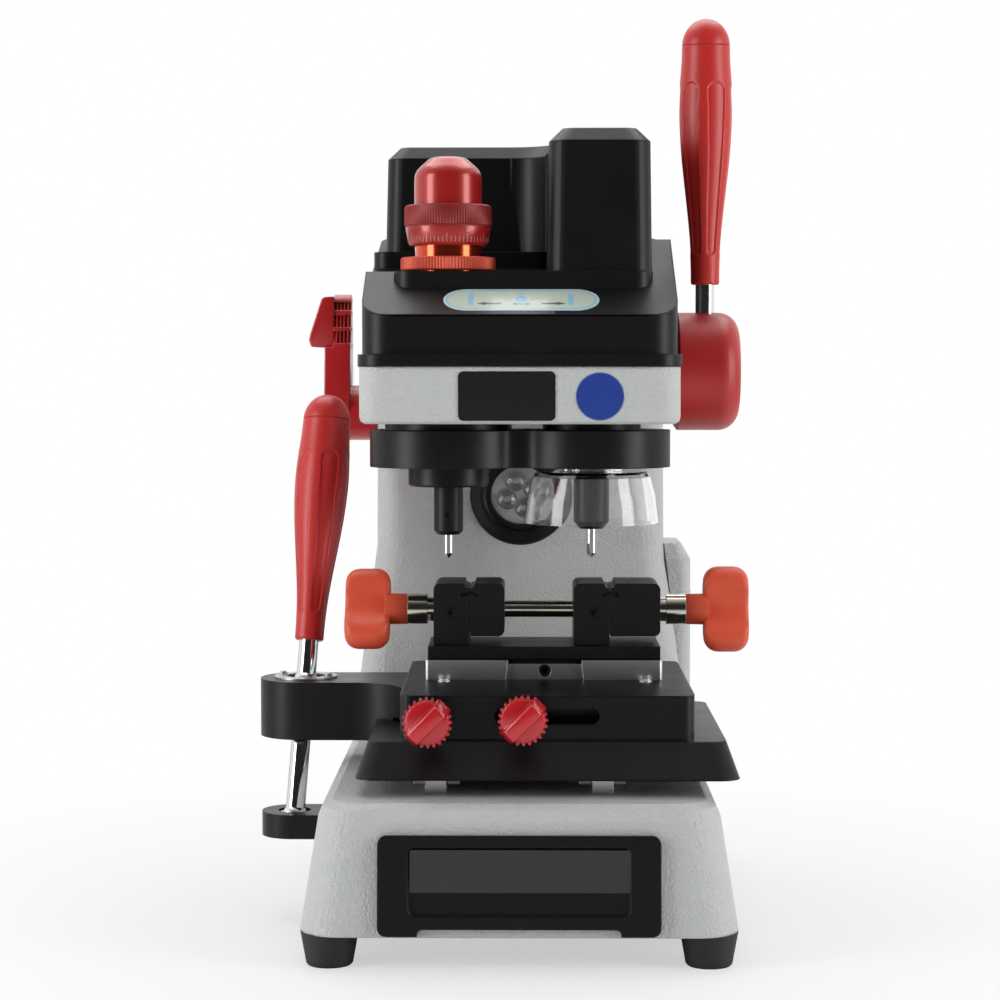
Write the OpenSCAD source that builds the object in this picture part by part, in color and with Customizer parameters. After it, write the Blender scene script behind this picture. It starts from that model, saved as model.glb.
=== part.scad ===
// Vertical key duplicating machine.
// A base casting with a column carries a cross table with two key vises, and a
// sliding head with a tracer on the left and a cutter spindle on the right.
// Millimetres. X points to the right, Y to the back and Z up.
// All pieces are drawn on the machine's own lines: X = 0 is the middle plane,
// Y = 0 is the plane of the tracer and the cutter, and Z = 0 is the bench.

/* [Base] */
// Width of the base casting at its sole
base_w = 248; // [244:1:250]
// Height of the rubber feet
foot_h = 19; // [18:1:20]
// Height of the flat top of the base above the bench
base_top = 92; // [91:0.5:92]
// Wall thickness of the casting
cast_wall = 9; // [7:1:10]

/* [Column] */
// Width of the upright part of the column
column_w = 190; // [188:1:190]
// Height of the top of the column
column_top = 392; // [390:1:392]
// Radius of the bezel of the work lamp
lamp_r = 33; // [30:1:34]

/* [Table] */
// Width of the raised middle of the table cover
table_w = 170; // [168:1:172]
// Height of the top of the table
table_top = 148; // [147.5:0.5:148]
// Place of the middle of the table in X, as it stands
table_x = 16; // [15:1:16]

/* [Vises] */
// Distance between the tracer and the cutter, and between the vises
axis_gap = 87.5; // [87.5:0.1:87.5]
// Height of the top of the jaws
jaw_top = 206; // [205:0.5:206]
// Height of the clamp screws
screw_z = 188.5; // [188:0.5:189]
// Diameter of the clamp screws
screw_d = 10; // [9:0.5:10]

/* [Head] */
// Width of the head casting
head_w = 190; // [188:1:190]
// Height of the underside of the head casting
head_z = 303; // [303:0.5:303]
// Height of the top of the towers of the cover
tower_top = 480; // [470:1:490]
// Wall thickness of the cover
cover_wall = 4; // [3:0.5:4]

/* [Spindles] */
// Height of the tips of the tracer and the cutter
tip_z = 220; // [219:0.5:221]
// Diameter of the shank of the cutter and of the tracer point
shank_d = 6; // [5:0.5:6]

/* [Levers] */
// Length of the grip of the table lever
table_grip_len = 158; // [150:1:160]
// Length of the grip of the feed lever
feed_grip_len = 166; // [160:1:170]
// Largest diameter of the grips
grip_d = 34; // [32:0.5:34]
// Diameter of the lever rods
rod_d = 12; // [11:0.5:12]

/* [Feed] */
// Module of the rack and the pinion
gear_module = 1.5; // [1.5:0.1:1.5]
// Number of teeth of the pinion
pinion_teeth = 24; // [24:1:24]

/* [Hidden] */

shift_x = 10.6; // moves the whole machine so that the middle of its box is the origin
shift_y = -31.8;
eps = 0.01;
fit = 0.06; // radial play of a running fit
play = 0.4; // play between pieces that pass each other
half_gap = axis_gap / 2;
round_fn = 64;
soft_fn = 32; // for the corners of blended shapes

// base and column, as distances from the middle plane and from the tip plane
base_front = -150;
base_back = 215;
base_r = 24;
base_edge = 9; // rounding of the top edge
column_face = 110;
column_back = 213;
column_knee = 220; // below this height the column widens towards the base
column_waist = 125; // height of its middle section there
column_low = base_top - cast_wall;
lamp_z = 253;
box_x = [95, 113];
box_y = [120, 190];
box_z = [92, 220];
rail_w = 12;
rail_h = 8;
y_rail_x = 48;
z_rail_x = 52;
z_rail_z = [296, 388];
switch_y = 155;
switch_pivot_x = 110;
switch_tilt = 8;
switch_z = 178;
inlet_z = 140;

// cross table
saddle_z = [105, 113];
x_rail_x = [-62, 70];
x_rail_y = [-58, 26];
plate_x = [-62, 82];
plate_z = [126, 144];
cover_front = -100;
cover_back = 72;
ledge_z = 122;
skirt_z = 102;
slot_x = [-14, 46];
slot_z = 136;
slot_h = 9;
stud_d = 8;
x_knob_x = 2;
y_knob_x = -52.4;
vise_x = 15; // middle of the vise pair
split_left = -30.4;
split_right = split_left + axis_gap - 2.5;
jaw_gap = 0.6;
jaw_y = [-22, 24];

// table lever
ball_low = [-139, 2, 59.3];
ball_high = [-133.6, 22, 140];
ball_r = 8;
lean_back = atan((ball_high.y - ball_low.y) / (ball_high.z - ball_low.z));
lean_side = atan((ball_high.x - ball_low.x) * cos(lean_back) / (ball_high.z - ball_low.z));
ball_span = norm(ball_high - ball_low);
ring_bore_r = ball_r + 4; // leaves room for the rod as it leans
bracket_z = [49, 63.7];
arm_z = [108, 143.5];
arm_r = 28;

// head
head_front = -63;
head_back = 97;
casting_top = 336.7;
floor_t = 8;
back_plate_top = 385;
deck_z = 367.8; // height of the front edge of the sloping deck
deck_slope = 0.25;
cover_low = 406; // underside of the cover behind the head
shoulder_z = 410;
platform_z = 394;
cover_rear = 170;
plate_low = 276; // underside of the spindle plate
plate_high = 298.5;
lobe_r = 48;

// feed
pinion_r = gear_module * pinion_teeth / 2;
feed_y = 52;
feed_z = 334;
rack_y = feed_y + pinion_r;
feed_shaft_d = 16;
hub_x = [97, 137.4];
hub_r = 37;
feed_rod_x = 116.4;
feed_grip_z = 388.5;
support_x = [-44, 30];

// lock lever
lock_y = 141;
lock_z = 306.5;

// ---------------------------------------------------------------- helpers

module place() {
    translate([shift_x, shift_y, 0]) children();
}

// Rectangle with round corners, from its limits in X and Y
module rounded(x, y, r) {
    translate([x[0] + r, y[0]]) square([x[1] - x[0] - 2 * r, y[1] - y[0]]);
    translate([x[0], y[0] + r]) square([x[1] - x[0], y[1] - y[0] - 2 * r]);
    for (cx = [x[0] + r, x[1] - r], cy = [y[0] + r, y[1] - r])
        translate([cx, cy]) circle(r = r, $fn = round_fn);
}

// Plate with round corners in plan
module slab(x, y, z, r) {
    translate([0, 0, z[0]]) linear_extrude(z[1] - z[0]) rounded(x, y, r);
}

module box(x, y, z) {
    translate([x[0], y[0], z[0]]) cube([x[1] - x[0], y[1] - y[0], z[1] - z[0]]);
}

// Thin slice for a blended shape
module slice(x, y, z, r) {
    translate([0, 0, z]) linear_extrude(eps) {
        offset(r = r, $fn = soft_fn) translate([x[0] + r, y[0] + r])
            square([x[1] - x[0] - 2 * r, y[1] - y[0] - 2 * r]);
    }
}

// Cylinder along X or Y between two places
module rod_x(x, y, z, d) {
    translate([x[0], y, z]) rotate([0, 90, 0]) cylinder(d = d, h = x[1] - x[0], $fn = round_fn);
}

module rod_y(x, y, z, d) {
    translate([x, y[0], z]) rotate([-90, 0, 0]) cylinder(d = d, h = y[1] - y[0], $fn = round_fn);
}

module rod_z(x, y, z, d) {
    translate([x, y, z[0]]) cylinder(d = d, h = z[1] - z[0], $fn = round_fn);
}

// Ball with a flat, round or bored piece is built from this revolve
module turned(points) {
    rotate_extrude($fn = round_fn) polygon(points);
}

// ---------------------------------------------------------------- base

// Outer or inner form of the pedestal; wall is 0 for the outside
module pedestal(wall) {
    low = foot_h - (wall > 0 ? eps : 0);
    bw = base_w / 2;
    hull() {
        slice([-bw + wall, bw - wall], [base_front + wall, base_back - wall], low, base_r - wall / 2);
        slice([-bw + 10 + wall, bw - 10 - wall], [base_front + 5.5 + wall, base_back - 1 - wall],
            base_top - base_edge - wall, base_r - wall / 2);
        slice([-bw + 12.5 + wall, bw - 12.5 - wall], [base_front + 8 + wall, base_back - 3 - wall],
            base_top - 3 - wall, base_r - 2 - wall / 2);
        slice([-bw + 18 + wall, bw - 18 - wall], [base_front + 14 + wall, base_back - 8 - wall],
            base_top - eps - wall, base_r - 6 - wall / 2);
    }
}

// Outer or inner form of the column
module column(wall) {
    cw = column_w / 2;
    low = column_low - (wall > 0 ? 1 : 0);
    hull() {
        slice([-cw - 16 + wall, cw + 16 - wall], [90 + wall, column_back - wall], low, 20 - wall / 2);
        slice([-cw - 12 + wall, cw + 12 - wall], [96 + wall, column_back - wall], column_waist,
            20 - wall / 2);
        slice([-cw + 0.1 + wall, cw - 0.1 - wall], [column_face + 0.1 + wall, column_back - 0.1 - wall],
            column_knee, 18 - wall / 2);
    }
    hull() {
        slice([-cw + 1 + wall, cw - 1 - wall], [column_face + 1 + wall, column_back - 1 - wall],
            column_knee - 20, 18 - wall / 2);
        slice([-cw + wall, cw - wall], [column_face + wall, column_back - wall],
            column_knee, 18 - wall / 2);
        slice([-cw + 1 + wall, cw - 1 - wall], [column_face + wall, column_back - 2 - wall],
            column_top - 8 - wall, 17 - wall / 2);
        slice([-cw + 6 + wall, cw - 6 - wall], [column_face + 3 + wall, column_back - 7 - wall],
            column_top - eps - wall, 14 - wall / 2);
    }
}

foot_places = [for (x = [-107, 107], y = [-131, 196]) [x, y]];

module at_feet() {
    for (p = foot_places) translate([p.x, p.y, 0]) children();
}

module base_casting() {
    color([0.72, 0.74, 0.73]) place() difference() {
        union() {
            difference() {
                union() {
                    pedestal(0);
                    column(0);
                }
                pedestal(cast_wall);
                column(cast_wall);
            }
            // bosses for the feet, inside the corners
            at_feet() translate([0, 0, foot_h]) cylinder(r = 9, h = 24, $fn = round_fn);
        }
        // recess for the bottom plate
        slab([-base_w / 2 + 6, base_w / 2 - 6], [base_front + 6, base_back - 6],
            [foot_h - 1, foot_h + 2], base_r - 4);
        at_feet() translate([0, 0, foot_h - 1]) cylinder(d = 6.4, h = 32, $fn = round_fn);
        // seat of the lamp
        rod_y(0, [column_face - 12, column_face + 20], lamp_z, 2 * (lamp_r - 5));
        // window for the lever bracket
        box([-140, -105], [ball_low.y - 14, ball_low.y + 14], bracket_z);
        // window behind the rear plate
        box([-60, 60], [column_back - 12, column_back + 12], [110, 250]);
        // bore for the pivot of the lock lever
        rod_x([-110, -80], lock_y, lock_z, 12 + 2 * fit);
        // opening for the wires to the side box
        rod_x([70, 120], switch_y, switch_z, 20);
    }
}

module bottom_plate() {
    color([0.25, 0.25, 0.26]) place() difference() {
        slab([-base_w / 2 + 6.5, base_w / 2 - 6.5], [base_front + 6.5, base_back - 6.5],
            [foot_h, foot_h + 2], base_r - 4.5);
        at_feet() translate([0, 0, foot_h - 1]) cylinder(d = 6.4, h = 4, $fn = round_fn);
        // cooling slots
        for (i = [-4 : 4]) box([i * 12 - 2, i * 12 + 2], [20, 90], [foot_h - 1, foot_h + 3]);
    }
}

module rubber_feet() {
    foot = [[3.3, 5], [7, 5], [7, 0], [12.2, 0], [13.3, 1.2], [16.5, foot_h], [3.3, foot_h]];
    color([0.07, 0.07, 0.07]) place() at_feet() turned(foot);
}

module foot_screws() {
    color("silver") place() at_feet() {
        translate([0, 0, 2]) cylinder(d = 12, h = 3, $fn = round_fn);
        translate([0, 0, 5 - eps]) cylinder(d = 6, h = 42, $fn = round_fn);
    }
}

// The badge frame follows the slope of the front
badge_lean = atan(5.5 / (base_top - base_edge - foot_h));

module at_badge() {
    translate([0, base_front, foot_h]) rotate([-badge_lean, 0, 0]) rotate([90, 0, 0]) children();
}

module badge_frame() {
    color([0.09, 0.09, 0.095]) place() at_badge() difference() {
        linear_extrude(4) difference() {
            rounded([-79, 79], [1, 57], 5);
            rounded([-56.8, 56.8], [-6, 5], 3);
        }
        translate([0, 0, 2]) linear_extrude(4) rounded([-62, 62], [12.5, 50.5], 4);
    }
}

// ---------------------------------------------------------------- lamp

module lamp_bezel() {
    seat_r = lamp_r - 5 - fit;
    ring = [[19.2, -1], [23, -1], [23, -5], [24, -6.5], [26, -6.5], [lamp_r, 0], [seat_r, 0],
        [seat_r, 16], [19.2, 16]];
    color([0.1, 0.1, 0.11]) place() translate([0, column_face, lamp_z]) rotate([-90, 0, 0]) turned(ring);
}

module lamp_glass() {
    color([0.9, 0.93, 0.95, 0.35]) place() rod_y(0, [column_face, column_face + 2.5], lamp_z, 38.2);
}

module lamp_leds() {
    color([0.85, 0.86, 0.8]) place() {
        rod_y(0, [column_face + 8, column_face + 14], lamp_z, 38.2);
        translate([0, column_face + 8 + eps, lamp_z]) rotate([90, 0, 0]) for (i = [0 : 3])
            rotate([0, 0, 45 + 90 * i]) translate([9, 0, 0]) intersection() {
                sphere(r = 4.5, $fn = round_fn);
                cylinder(r = 6, h = 6, $fn = round_fn);
            }
    }
}

// ---------------------------------------------------------------- fixed parts on the casting

module lever_bracket() {
    color([0.1, 0.1, 0.105]) place() difference() {
        union() {
            translate([ball_low.x, ball_low.y, bracket_z[0]])
                cylinder(r = 20, h = bracket_z[1] - bracket_z[0], $fn = round_fn);
            difference() {
                box([ball_low.x, -112], [ball_low.y - 20, ball_low.y + 20], bracket_z);
                pedestal(0);
            }
            box([-130, -105], [ball_low.y - 14, ball_low.y + 14], bracket_z);
        }
        // socket of the ball
        translate([ball_low.x, ball_low.y, bracket_z[0] + 2]) cylinder(r = 10, h = 20, $fn = round_fn);
    }
}

// Ground rails: two along Y on the base, two along Z on the column
module slide_rails() {
    color("silver") place() {
        for (x = [-y_rail_x, y_rail_x])
            box([x - rail_w / 2, x + rail_w / 2], [-104, 66], [base_top, base_top + rail_h]);
        for (x = [-z_rail_x, z_rail_x])
            box([x - rail_w / 2, x + rail_w / 2], [column_face - rail_h, column_face], z_rail_z);
    }
}

// Rack with straight flanks at 20 degrees, standing on the column
rack_pitch = PI * gear_module;
rack_play = 0.15;

module feed_rack() {
    half = rack_pitch / 4 - rack_play;
    tooth = [[0, -half - 1.25 * gear_module * tan(20)], [0, half + 1.25 * gear_module * tan(20)],
        [-2.25 * gear_module, half - gear_module * tan(20)],
        [-2.25 * gear_module, -half + gear_module * tan(20)]];
    root_y = rack_y + 1.25 * gear_module;
    color([0.45, 0.45, 0.47]) place() {
        box([-7, 7], [root_y, column_face], [feed_z - 6.5 * rack_pitch, feed_z + 6.5 * rack_pitch]);
        // the teeth stand half a pitch off the height of the pinion's axis
        for (i = [-6 : 5]) translate([-7, root_y + eps, feed_z + (i + 0.5) * rack_pitch])
            rotate([90, 0, 90]) linear_extrude(14) polygon([for (p = tooth) [p.x, p.y]]);
    }
}

module side_box() {
    cw = column_w / 2;
    color([0.72, 0.74, 0.73]) place() difference() {
        hull() {
            slice([cw - 8, box_x[1]], box_y, box_z[0], 8);
            slice([cw - 8, box_x[1]], box_y, box_z[1] - 10, 8);
            slice([cw - 8, box_x[1] - 6], [box_y[0] + 5, box_y[1] - 5], box_z[1], 6);
        }
        // follows the side of the column
        translate([0, box_y[1] + 5, 0]) rotate([90, 0, 0]) linear_extrude(box_y[1] - box_y[0] + 10)
            polygon([[cw - 20, column_low], [cw + 16, column_low], [cw + 12, column_waist],
                [cw, column_knee], [cw, box_z[1] + 5], [cw - 20, box_z[1] + 5]]);
        box([80, box_x[1] - 4], [box_y[0] + 4, box_y[1] - 4], [box_z[0] + 6, box_z[1] - 14]);
        // cut-out of the switch
        box([100, 120], [switch_y - 6.4, switch_y + 6.4], [switch_z - 11, switch_z + 11]);
    }
}

module rear_plate() {
    color([0.2, 0.2, 0.21]) place() difference() {
        translate([0, column_back, 0]) rotate([90, 0, 0]) translate([0, 0, -2]) linear_extrude(2)
            rounded([-66, 66], [104, 256], 6);
        box([-14, 14], [column_back - 5, column_back + 5], [inlet_z - 10, inlet_z + 10]);
        for (i = [0 : 5]) box([-40, 40], [column_back - 5, column_back + 5], [190 + i * 9, 194 + i * 9]);
    }
}

module power_inlet() {
    color([0.06, 0.06, 0.06]) place() difference() {
        union() {
            box([-17, 17], [column_back + 2, column_back + 4.5], [inlet_z - 13, inlet_z + 13]);
            box([-13.8, 13.8], [column_back - 18, column_back + 2 + eps], [inlet_z - 9.8, inlet_z + 9.8]);
        }
        box([-11.5, 11.5], [column_back - 14, column_back + 5], [inlet_z - 7.5, inlet_z + 7.5]);
    }
}

// Rocker of the power switch, resting with its lower end pressed in
module power_switch() {
    rocker = [[-6, -3.5], [-6, 3.5], [-1, 9], [3.5, 9.3], [2, 0], [3.5, -9.3], [-1, -9]];
    color([0.55, 0.06, 0.06]) place() translate([switch_pivot_x, switch_y + 6, switch_z])
        rotate([90, 0, 0]) {
            linear_extrude(12) rotate([0, 0, -switch_tilt]) polygon(rocker);
            translate([0, 0, -0.3]) cylinder(d = 3, h = 12.6, $fn = round_fn);
        }
}

// ---------------------------------------------------------------- saddle

block_len = 34;
block_w = 27;

// Bearing block over a rail that runs along X; z is the height of the rail's foot
module rail_block(rail_foot) {
    difference() {
        translate([-block_len / 2, -block_w / 2, rail_foot + 3]) cube([block_len, block_w, 10]);
        translate([-block_len, -rail_w / 2 - play, rail_foot - eps])
            cube([2 * block_len, rail_w + 2 * play, rail_h + play]);
    }
}

module saddle() {
    color([0.16, 0.16, 0.17]) place() {
        box([-66, 80], [-92, 58], saddle_z);
        // upright lug that takes the stud of the lock knob
        difference() {
            box([x_knob_x - 13, x_knob_x + 13], [-94, -82], [saddle_z[1] - 1, 143.4]);
            rod_y(x_knob_x, [-95, -81], slot_z, stud_d + 2 * fit);
        }
    }
}

module y_bearings() {
    color("silver") place() for (x = [-y_rail_x, y_rail_x], y = [-72, 35])
        translate([x, y, 0]) rotate([0, 0, 90]) rail_block(base_top);
}

module x_rails() {
    color("silver") place() for (y = x_rail_y)
        box(x_rail_x, [y - rail_w / 2, y + rail_w / 2], [saddle_z[1], saddle_z[1] + rail_h]);
}

// Star knob: serrated rim, sloping shoulder and a raised bar across its face
knob_r = 13.8;
knob_depth = 20;

module star_knob(bar_angle) {
    teeth = 30;
    union() {
        rotate([90, 0, 0]) difference() {
            union() {
                cylinder(r = 9.5, h = 5, $fn = round_fn);
                translate([0, 0, 4]) linear_extrude(7) union() {
                    circle(r = knob_r - 0.9, $fn = round_fn);
                    for (i = [0 : teeth - 1]) rotate(i * 360 / teeth) translate([knob_r - 0.9, 0])
                        circle(r = 0.9, $fn = 8);
                }
                translate([0, 0, 11 - eps]) cylinder(r1 = knob_r - 0.9, r2 = 11, h = 2, $fn = round_fn);
            }
            translate([0, 0, -1]) cylinder(d = stud_d, h = 6, $fn = round_fn);
        }
        // grip bar, wider than the rim at its two ends
        rotate([0, bar_angle, 0]) rotate([90, 0, 0]) intersection() {
            translate([0, 0, 4]) cylinder(r = knob_r + 1.2, h = knob_depth - 4, $fn = round_fn);
            translate([0, 0, 4]) rotate([0, -90, 0]) translate([0, 0, -4.6]) linear_extrude(9.2)
                polygon([[0, -15], [11, -15], [16, -10.5], [16, 10.5], [11, 15], [0, 15]]);
        }
    }
}

module x_lock_knob() {
    color([0.78, 0.08, 0.1]) place() translate([x_knob_x, cover_front - 9, slot_z]) {
        star_knob(-45);
        rotate([-90, 0, 0]) translate([0, 0, -5]) cylinder(d = stud_d, h = 31, $fn = round_fn);
        rotate([-90, 0, 0]) translate([0, 0, -eps]) difference() {
            cylinder(d = 15, h = 8.6, $fn = round_fn);
            translate([0, 0, -1]) cylinder(d = stud_d, h = 12, $fn = round_fn);
        }
    }
}

module y_lock_knob() {
    color([0.78, 0.08, 0.1]) place() translate([y_knob_x, cover_front - 8, slot_z - 1.5]) {
        star_knob(-45);
        rotate([-90, 0, 0]) translate([0, 0, -5]) cylinder(d = stud_d, h = 50, $fn = round_fn);
    }
}

// ---------------------------------------------------------------- table

module table_plate() {
    color([0.5, 0.51, 0.52]) place() difference() {
        box(plate_x, [-76, 56], plate_z);
        rod_y(y_knob_x, [-77, -58], slot_z - 1.5, stud_d + 2 * fit);
        for (x = [-60.6, 60.6]) rod_z(vise_x + x, -34, [plate_z[1] - 12, plate_z[1] + 1], 4);
    }
}

module x_bearings() {
    color("silver") place() for (x = [table_x - 32, table_x + 32], y = x_rail_y)
        translate([x, y, 0]) rail_block(saddle_z[1]);
}

// Outline of the lever arm in plan, from its round end to the table
module arm_outline(x_end) {
    c = ball_high;
    translate([c.x, c.y]) circle(r = arm_r, $fn = 96);
    translate([c.x, c.y - arm_r]) square([x_end - c.x, 2 * arm_r - 3]);
    // fillet that sweeps forward to the table
    difference() {
        translate([-104, c.y - arm_r - 34]) square([x_end + 104, 35]);
        translate([-104, c.y - arm_r - 35]) circle(r = 35, $fn = 96);
    }
}

// Outer or inner form of the table cover; wall is 0 for the outside
module cover_form(wall) {
    tw = table_w / 2;
    low = wall > 0 ? -eps : 0;
    slab([table_x - tw + wall, table_x + tw - wall], [cover_front + wall, cover_back - wall],
        [skirt_z + low, table_top - wall], 7 - wall / 2);
    hull() {
        slice([table_x - tw - 25 + wall, table_x + tw + 25 - wall],
            [cover_front - 20 + wall, cover_back + 2 - wall], skirt_z + low, 12 - wall / 2);
        slice([table_x - tw - 18 + wall, table_x + tw + 18 - wall],
            [cover_front - 3 + wall, cover_back - wall], ledge_z - wall, 8 - wall / 2);
    }
}

module table_cover() {
    color([0.08, 0.08, 0.085]) place() difference() {
        cover_form(0);
        cover_form(cover_wall);
        // slot of the lock knob, with round ends
        for (x = [slot_x[0] + slot_h / 2, slot_x[1] - slot_h / 2])
            rod_y(x, [cover_front - 2, cover_front + 6], slot_z, slot_h);
        box([slot_x[0] + slot_h / 2, slot_x[1] - slot_h / 2], [cover_front - 2, cover_front + 6],
            [slot_z - slot_h / 2, slot_z + slot_h / 2]);
        rod_y(y_knob_x, [cover_front - 2, cover_front + 6], slot_z - 1.5, stud_d + 2 * play);
        // the lever arm enters here
        translate([0, 0, skirt_z - 1]) linear_extrude(arm_z[1] + 0.2 - skirt_z + 1) offset(delta = 0.2)
            arm_outline(table_x - table_w / 2 + cover_wall + 1);
        for (x = [-60.6, 60.6]) rod_z(vise_x + x, -34, [table_top - 5, table_top + 1], 4);
    }
}

module table_screws() {
    color("silver") place() for (x = [-60.6, 60.6]) translate([vise_x + x, -34, table_top])
        difference() {
            union() {
                cylinder(r1 = 4, r2 = 2.6, h = 2, $fn = round_fn);
                translate([0, 0, -14]) cylinder(d = 4, h = 14 + eps, $fn = round_fn);
            }
            translate([0, 0, 1]) for (a = [0, 90]) rotate(a) translate([-2.4, -0.4, 0]) cube([4.8, 0.8, 2]);
        }
}

mount_x = [-57, 86];
mount_z = [table_top, 160];
pocket_x = [-7.4, 37.4];

module vise_mount() {
    color([0.76, 0.77, 0.77]) place() difference() {
        slab(mount_x, [-28, 26], mount_z, 2);
        // sunken middle with slanting ends, around the clamping screw
        translate([0, -28 + 2.5, 0]) rotate([90, 0, 0]) linear_extrude(4) polygon([[pocket_x[0] - 1.5, 147],
            [pocket_x[1] + 1.5, 147], [pocket_x[1], 157.6], [pocket_x[1], 161], [pocket_x[0], 161],
            [pocket_x[0], 157.6]]);
        translate([0, 0, 157.6]) linear_extrude(4) rounded(pocket_x, [-40, -10], 3);
        rod_y(vise_x, [-30, -10], 153.4, 7.6);
    }
}

module vise_base() {
    color([0.05, 0.05, 0.055]) place() {
        difference() {
            box([-55.4, 84.7], [-28, 30], [mount_z[1], 168.3]);
            box([-70, 100], [-31, -25], [mount_z[1] - 1, mount_z[1] + 1]);
            box([-70, 100], [27, 32], [166.8, 169]);
        }
        // tongue in the pocket of the mount
        box([pocket_x[0] + 3.2, pocket_x[1] - 3.2], [-10.2 - 14, -10.2], [157.6, mount_z[1] + eps]);
        difference() {
            rod_y(vise_x, [-25.2, -14], 153.4, 7.5);
            translate([vise_x, -26, 153.4]) rotate([-90, 0, 0]) cylinder(r = 2.3, h = 5, $fn = 6);
        }
    }
}

// Front view of a jaw block, then its grooves and key pocket are cut
module jaw_blank(x, z) {
    translate([0, jaw_y[1], 0]) rotate([90, 0, 0]) linear_extrude(jaw_y[1] - jaw_y[0]) difference() {
        translate([x[0], z[0]]) square([x[1] - x[0], z[1] - z[0]]);
        children();
    }
}

// Removes the corner at (x, z); sx and sz point out of the block
module corner_cut(x, z, sx, sz, r) {
    difference() {
        translate([sx > 0 ? x - r : x - 1, sz > 0 ? z - r : z - 1]) square([r + 1, r + 1]);
        translate([x - sx * r, z - sz * r]) circle(r = r, $fn = round_fn);
    }
}

// Half of the key seat, cut into the face of a jaw; side is -1 or 1
module seat_cut(face_x, side) {
    translate([face_x, 0]) polygon([[side * 0.1, 207], [-side * 3.2, 206.1], [-side * 2.2, 203.4],
        [side * 0.1, 203]]);
    translate([face_x, 0]) polygon([[side * 0.1, 201.2], [-side * 1, 200.6], [-side * 5.2, 200.6],
        [-side * 5.2, 198.2], [-side * 2.4, 198.2], [side * 0.1, 199.6]]);
}

module jaw_grooves() {
    for (y = [-14, -3, 8]) box([-80, 110], [y, y + 3], [jaw_top - 1.2, jaw_top + 1]);
}

fixed_z = 168.3;
moving_z = 173.8;
screw_bore = screw_d + 2 * fit;

module left_fixed_jaw() {
    face = split_left - jaw_gap / 2;
    color([0.06, 0.06, 0.065]) place() difference() {
        jaw_blank([-52.2, face], [fixed_z, jaw_top]) {
            corner_cut(-52.2, jaw_top, -1, 1, 4);
            seat_cut(face, 1);
        }
        jaw_grooves();
        rod_x([-60, -20], 0, screw_z, screw_bore);
        rod_y(-42, [-25, -14], screw_z, 7);
    }
}

module right_fixed_jaw() {
    face = split_right - jaw_gap / 2;
    color([0.06, 0.06, 0.065]) place() difference() {
        jaw_blank([32.6, face], [fixed_z, jaw_top]) {
            corner_cut(32.6, jaw_top, -1, 1, 4);
            seat_cut(face, 1);
        }
        jaw_grooves();
        rod_x([20, 70], 0, screw_z, screw_bore);
        rod_y(44, [-25, -14], screw_z, 7);
    }
}

module jaw_screws() {
    color([0.1, 0.1, 0.1]) place() for (x = [-42, 44]) difference() {
        rod_y(x, [jaw_y[0] + 0.6, jaw_y[0] + 7], screw_z, 6.9);
        translate([x, jaw_y[0], screw_z]) rotate([-90, 0, 0]) cylinder(r = 2, h = 4, $fn = 6);
    }
}

module left_moving_jaw() {
    face = split_left + jaw_gap / 2;
    color([0.06, 0.06, 0.065]) place() difference() {
        jaw_blank([face, -9.3], [moving_z, jaw_top]) {
            corner_cut(-9.3, jaw_top, 1, 1, 4);
            corner_cut(-9.3, moving_z, 1, -1, 4);
            seat_cut(face, -1);
        }
        jaw_grooves();
        rod_x([-40, 0], 0, screw_z, screw_bore);
    }
}

module right_moving_jaw() {
    face = split_right + jaw_gap / 2;
    color([0.06, 0.06, 0.065]) place() difference() {
        jaw_blank([face, 85], [moving_z, jaw_top]) {
            corner_cut(85, jaw_top, 1, 1, 4);
            corner_cut(85, moving_z, 1, -1, 4);
            seat_cut(face, -1);
        }
        jaw_grooves();
        rod_x([50, 90], 0, screw_z, screw_bore);
    }
}

// Nickel collar and the screw behind it; the screw's own axis is +X from the collar
module clamp_screw(reach, collar_len) {
    difference() {
        union() {
            rotate([0, 90, 0]) cylinder(d = screw_d, h = reach, $fn = round_fn);
            rotate([0, -90, 0]) translate([0, 0, -eps]) cylinder(d = 18.5, h = collar_len, $fn = round_fn);
            rotate([0, 90, 0]) translate([0, 0, -eps]) cylinder(d = 15, h = 4, $fn = round_fn);
        }
        // cross hole of the pin
        translate([-collar_len / 2, 0, -12]) cylinder(d = 3.2, h = 24, $fn = round_fn);
    }
}

module left_clamp_screw() {
    color([0.72, 0.7, 0.66]) place() translate([-56.6, 0, screw_z]) clamp_screw(96, 12);
}

module right_clamp_screw() {
    color([0.72, 0.7, 0.66]) place() translate([89.4, 0, screw_z]) mirror([1, 0, 0]) clamp_screw(48.4, 12);
}

// Wing knob with its neck on +X and its wing on -X of the neck
module wing_knob(wing_w, wing_h, neck_len) {
    r = 10;
    hw = wing_w / 2;
    hh = wing_h / 2;
    rotate([0, -90, 0]) cylinder(r1 = 9.4, r2 = 9.9, h = neck_len + 1, $fn = round_fn);
    intersection() {
        translate([-neck_len - hw, 8, 0]) rotate([90, 0, 0]) linear_extrude(16)
            rounded([-hw, hw], [-hh, hh], r);
        // hollow flanks, thinnest in the middle
        difference() {
            translate([-neck_len - wing_w - 1, -8, -hh - 1]) cube([wing_w + 2, 16, wing_h + 2]);
            for (s = [-1, 1]) translate([-neck_len - wing_w - 2, s * 46, 0]) rotate([0, 90, 0])
                cylinder(r = 40.5, h = wing_w - 6, $fn = 96);
        }
    }
}

module left_wing_knob() {
    color([0.86, 0.28, 0.18]) place() translate([-68.6 - eps, 0, screw_z]) wing_knob(28, 47, 11);
}

module right_wing_knob() {
    color([0.86, 0.28, 0.18]) place() translate([101.4 + eps, 0, screw_z]) mirror([1, 0, 0])
        wing_knob(28, 51, 11);
}

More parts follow.
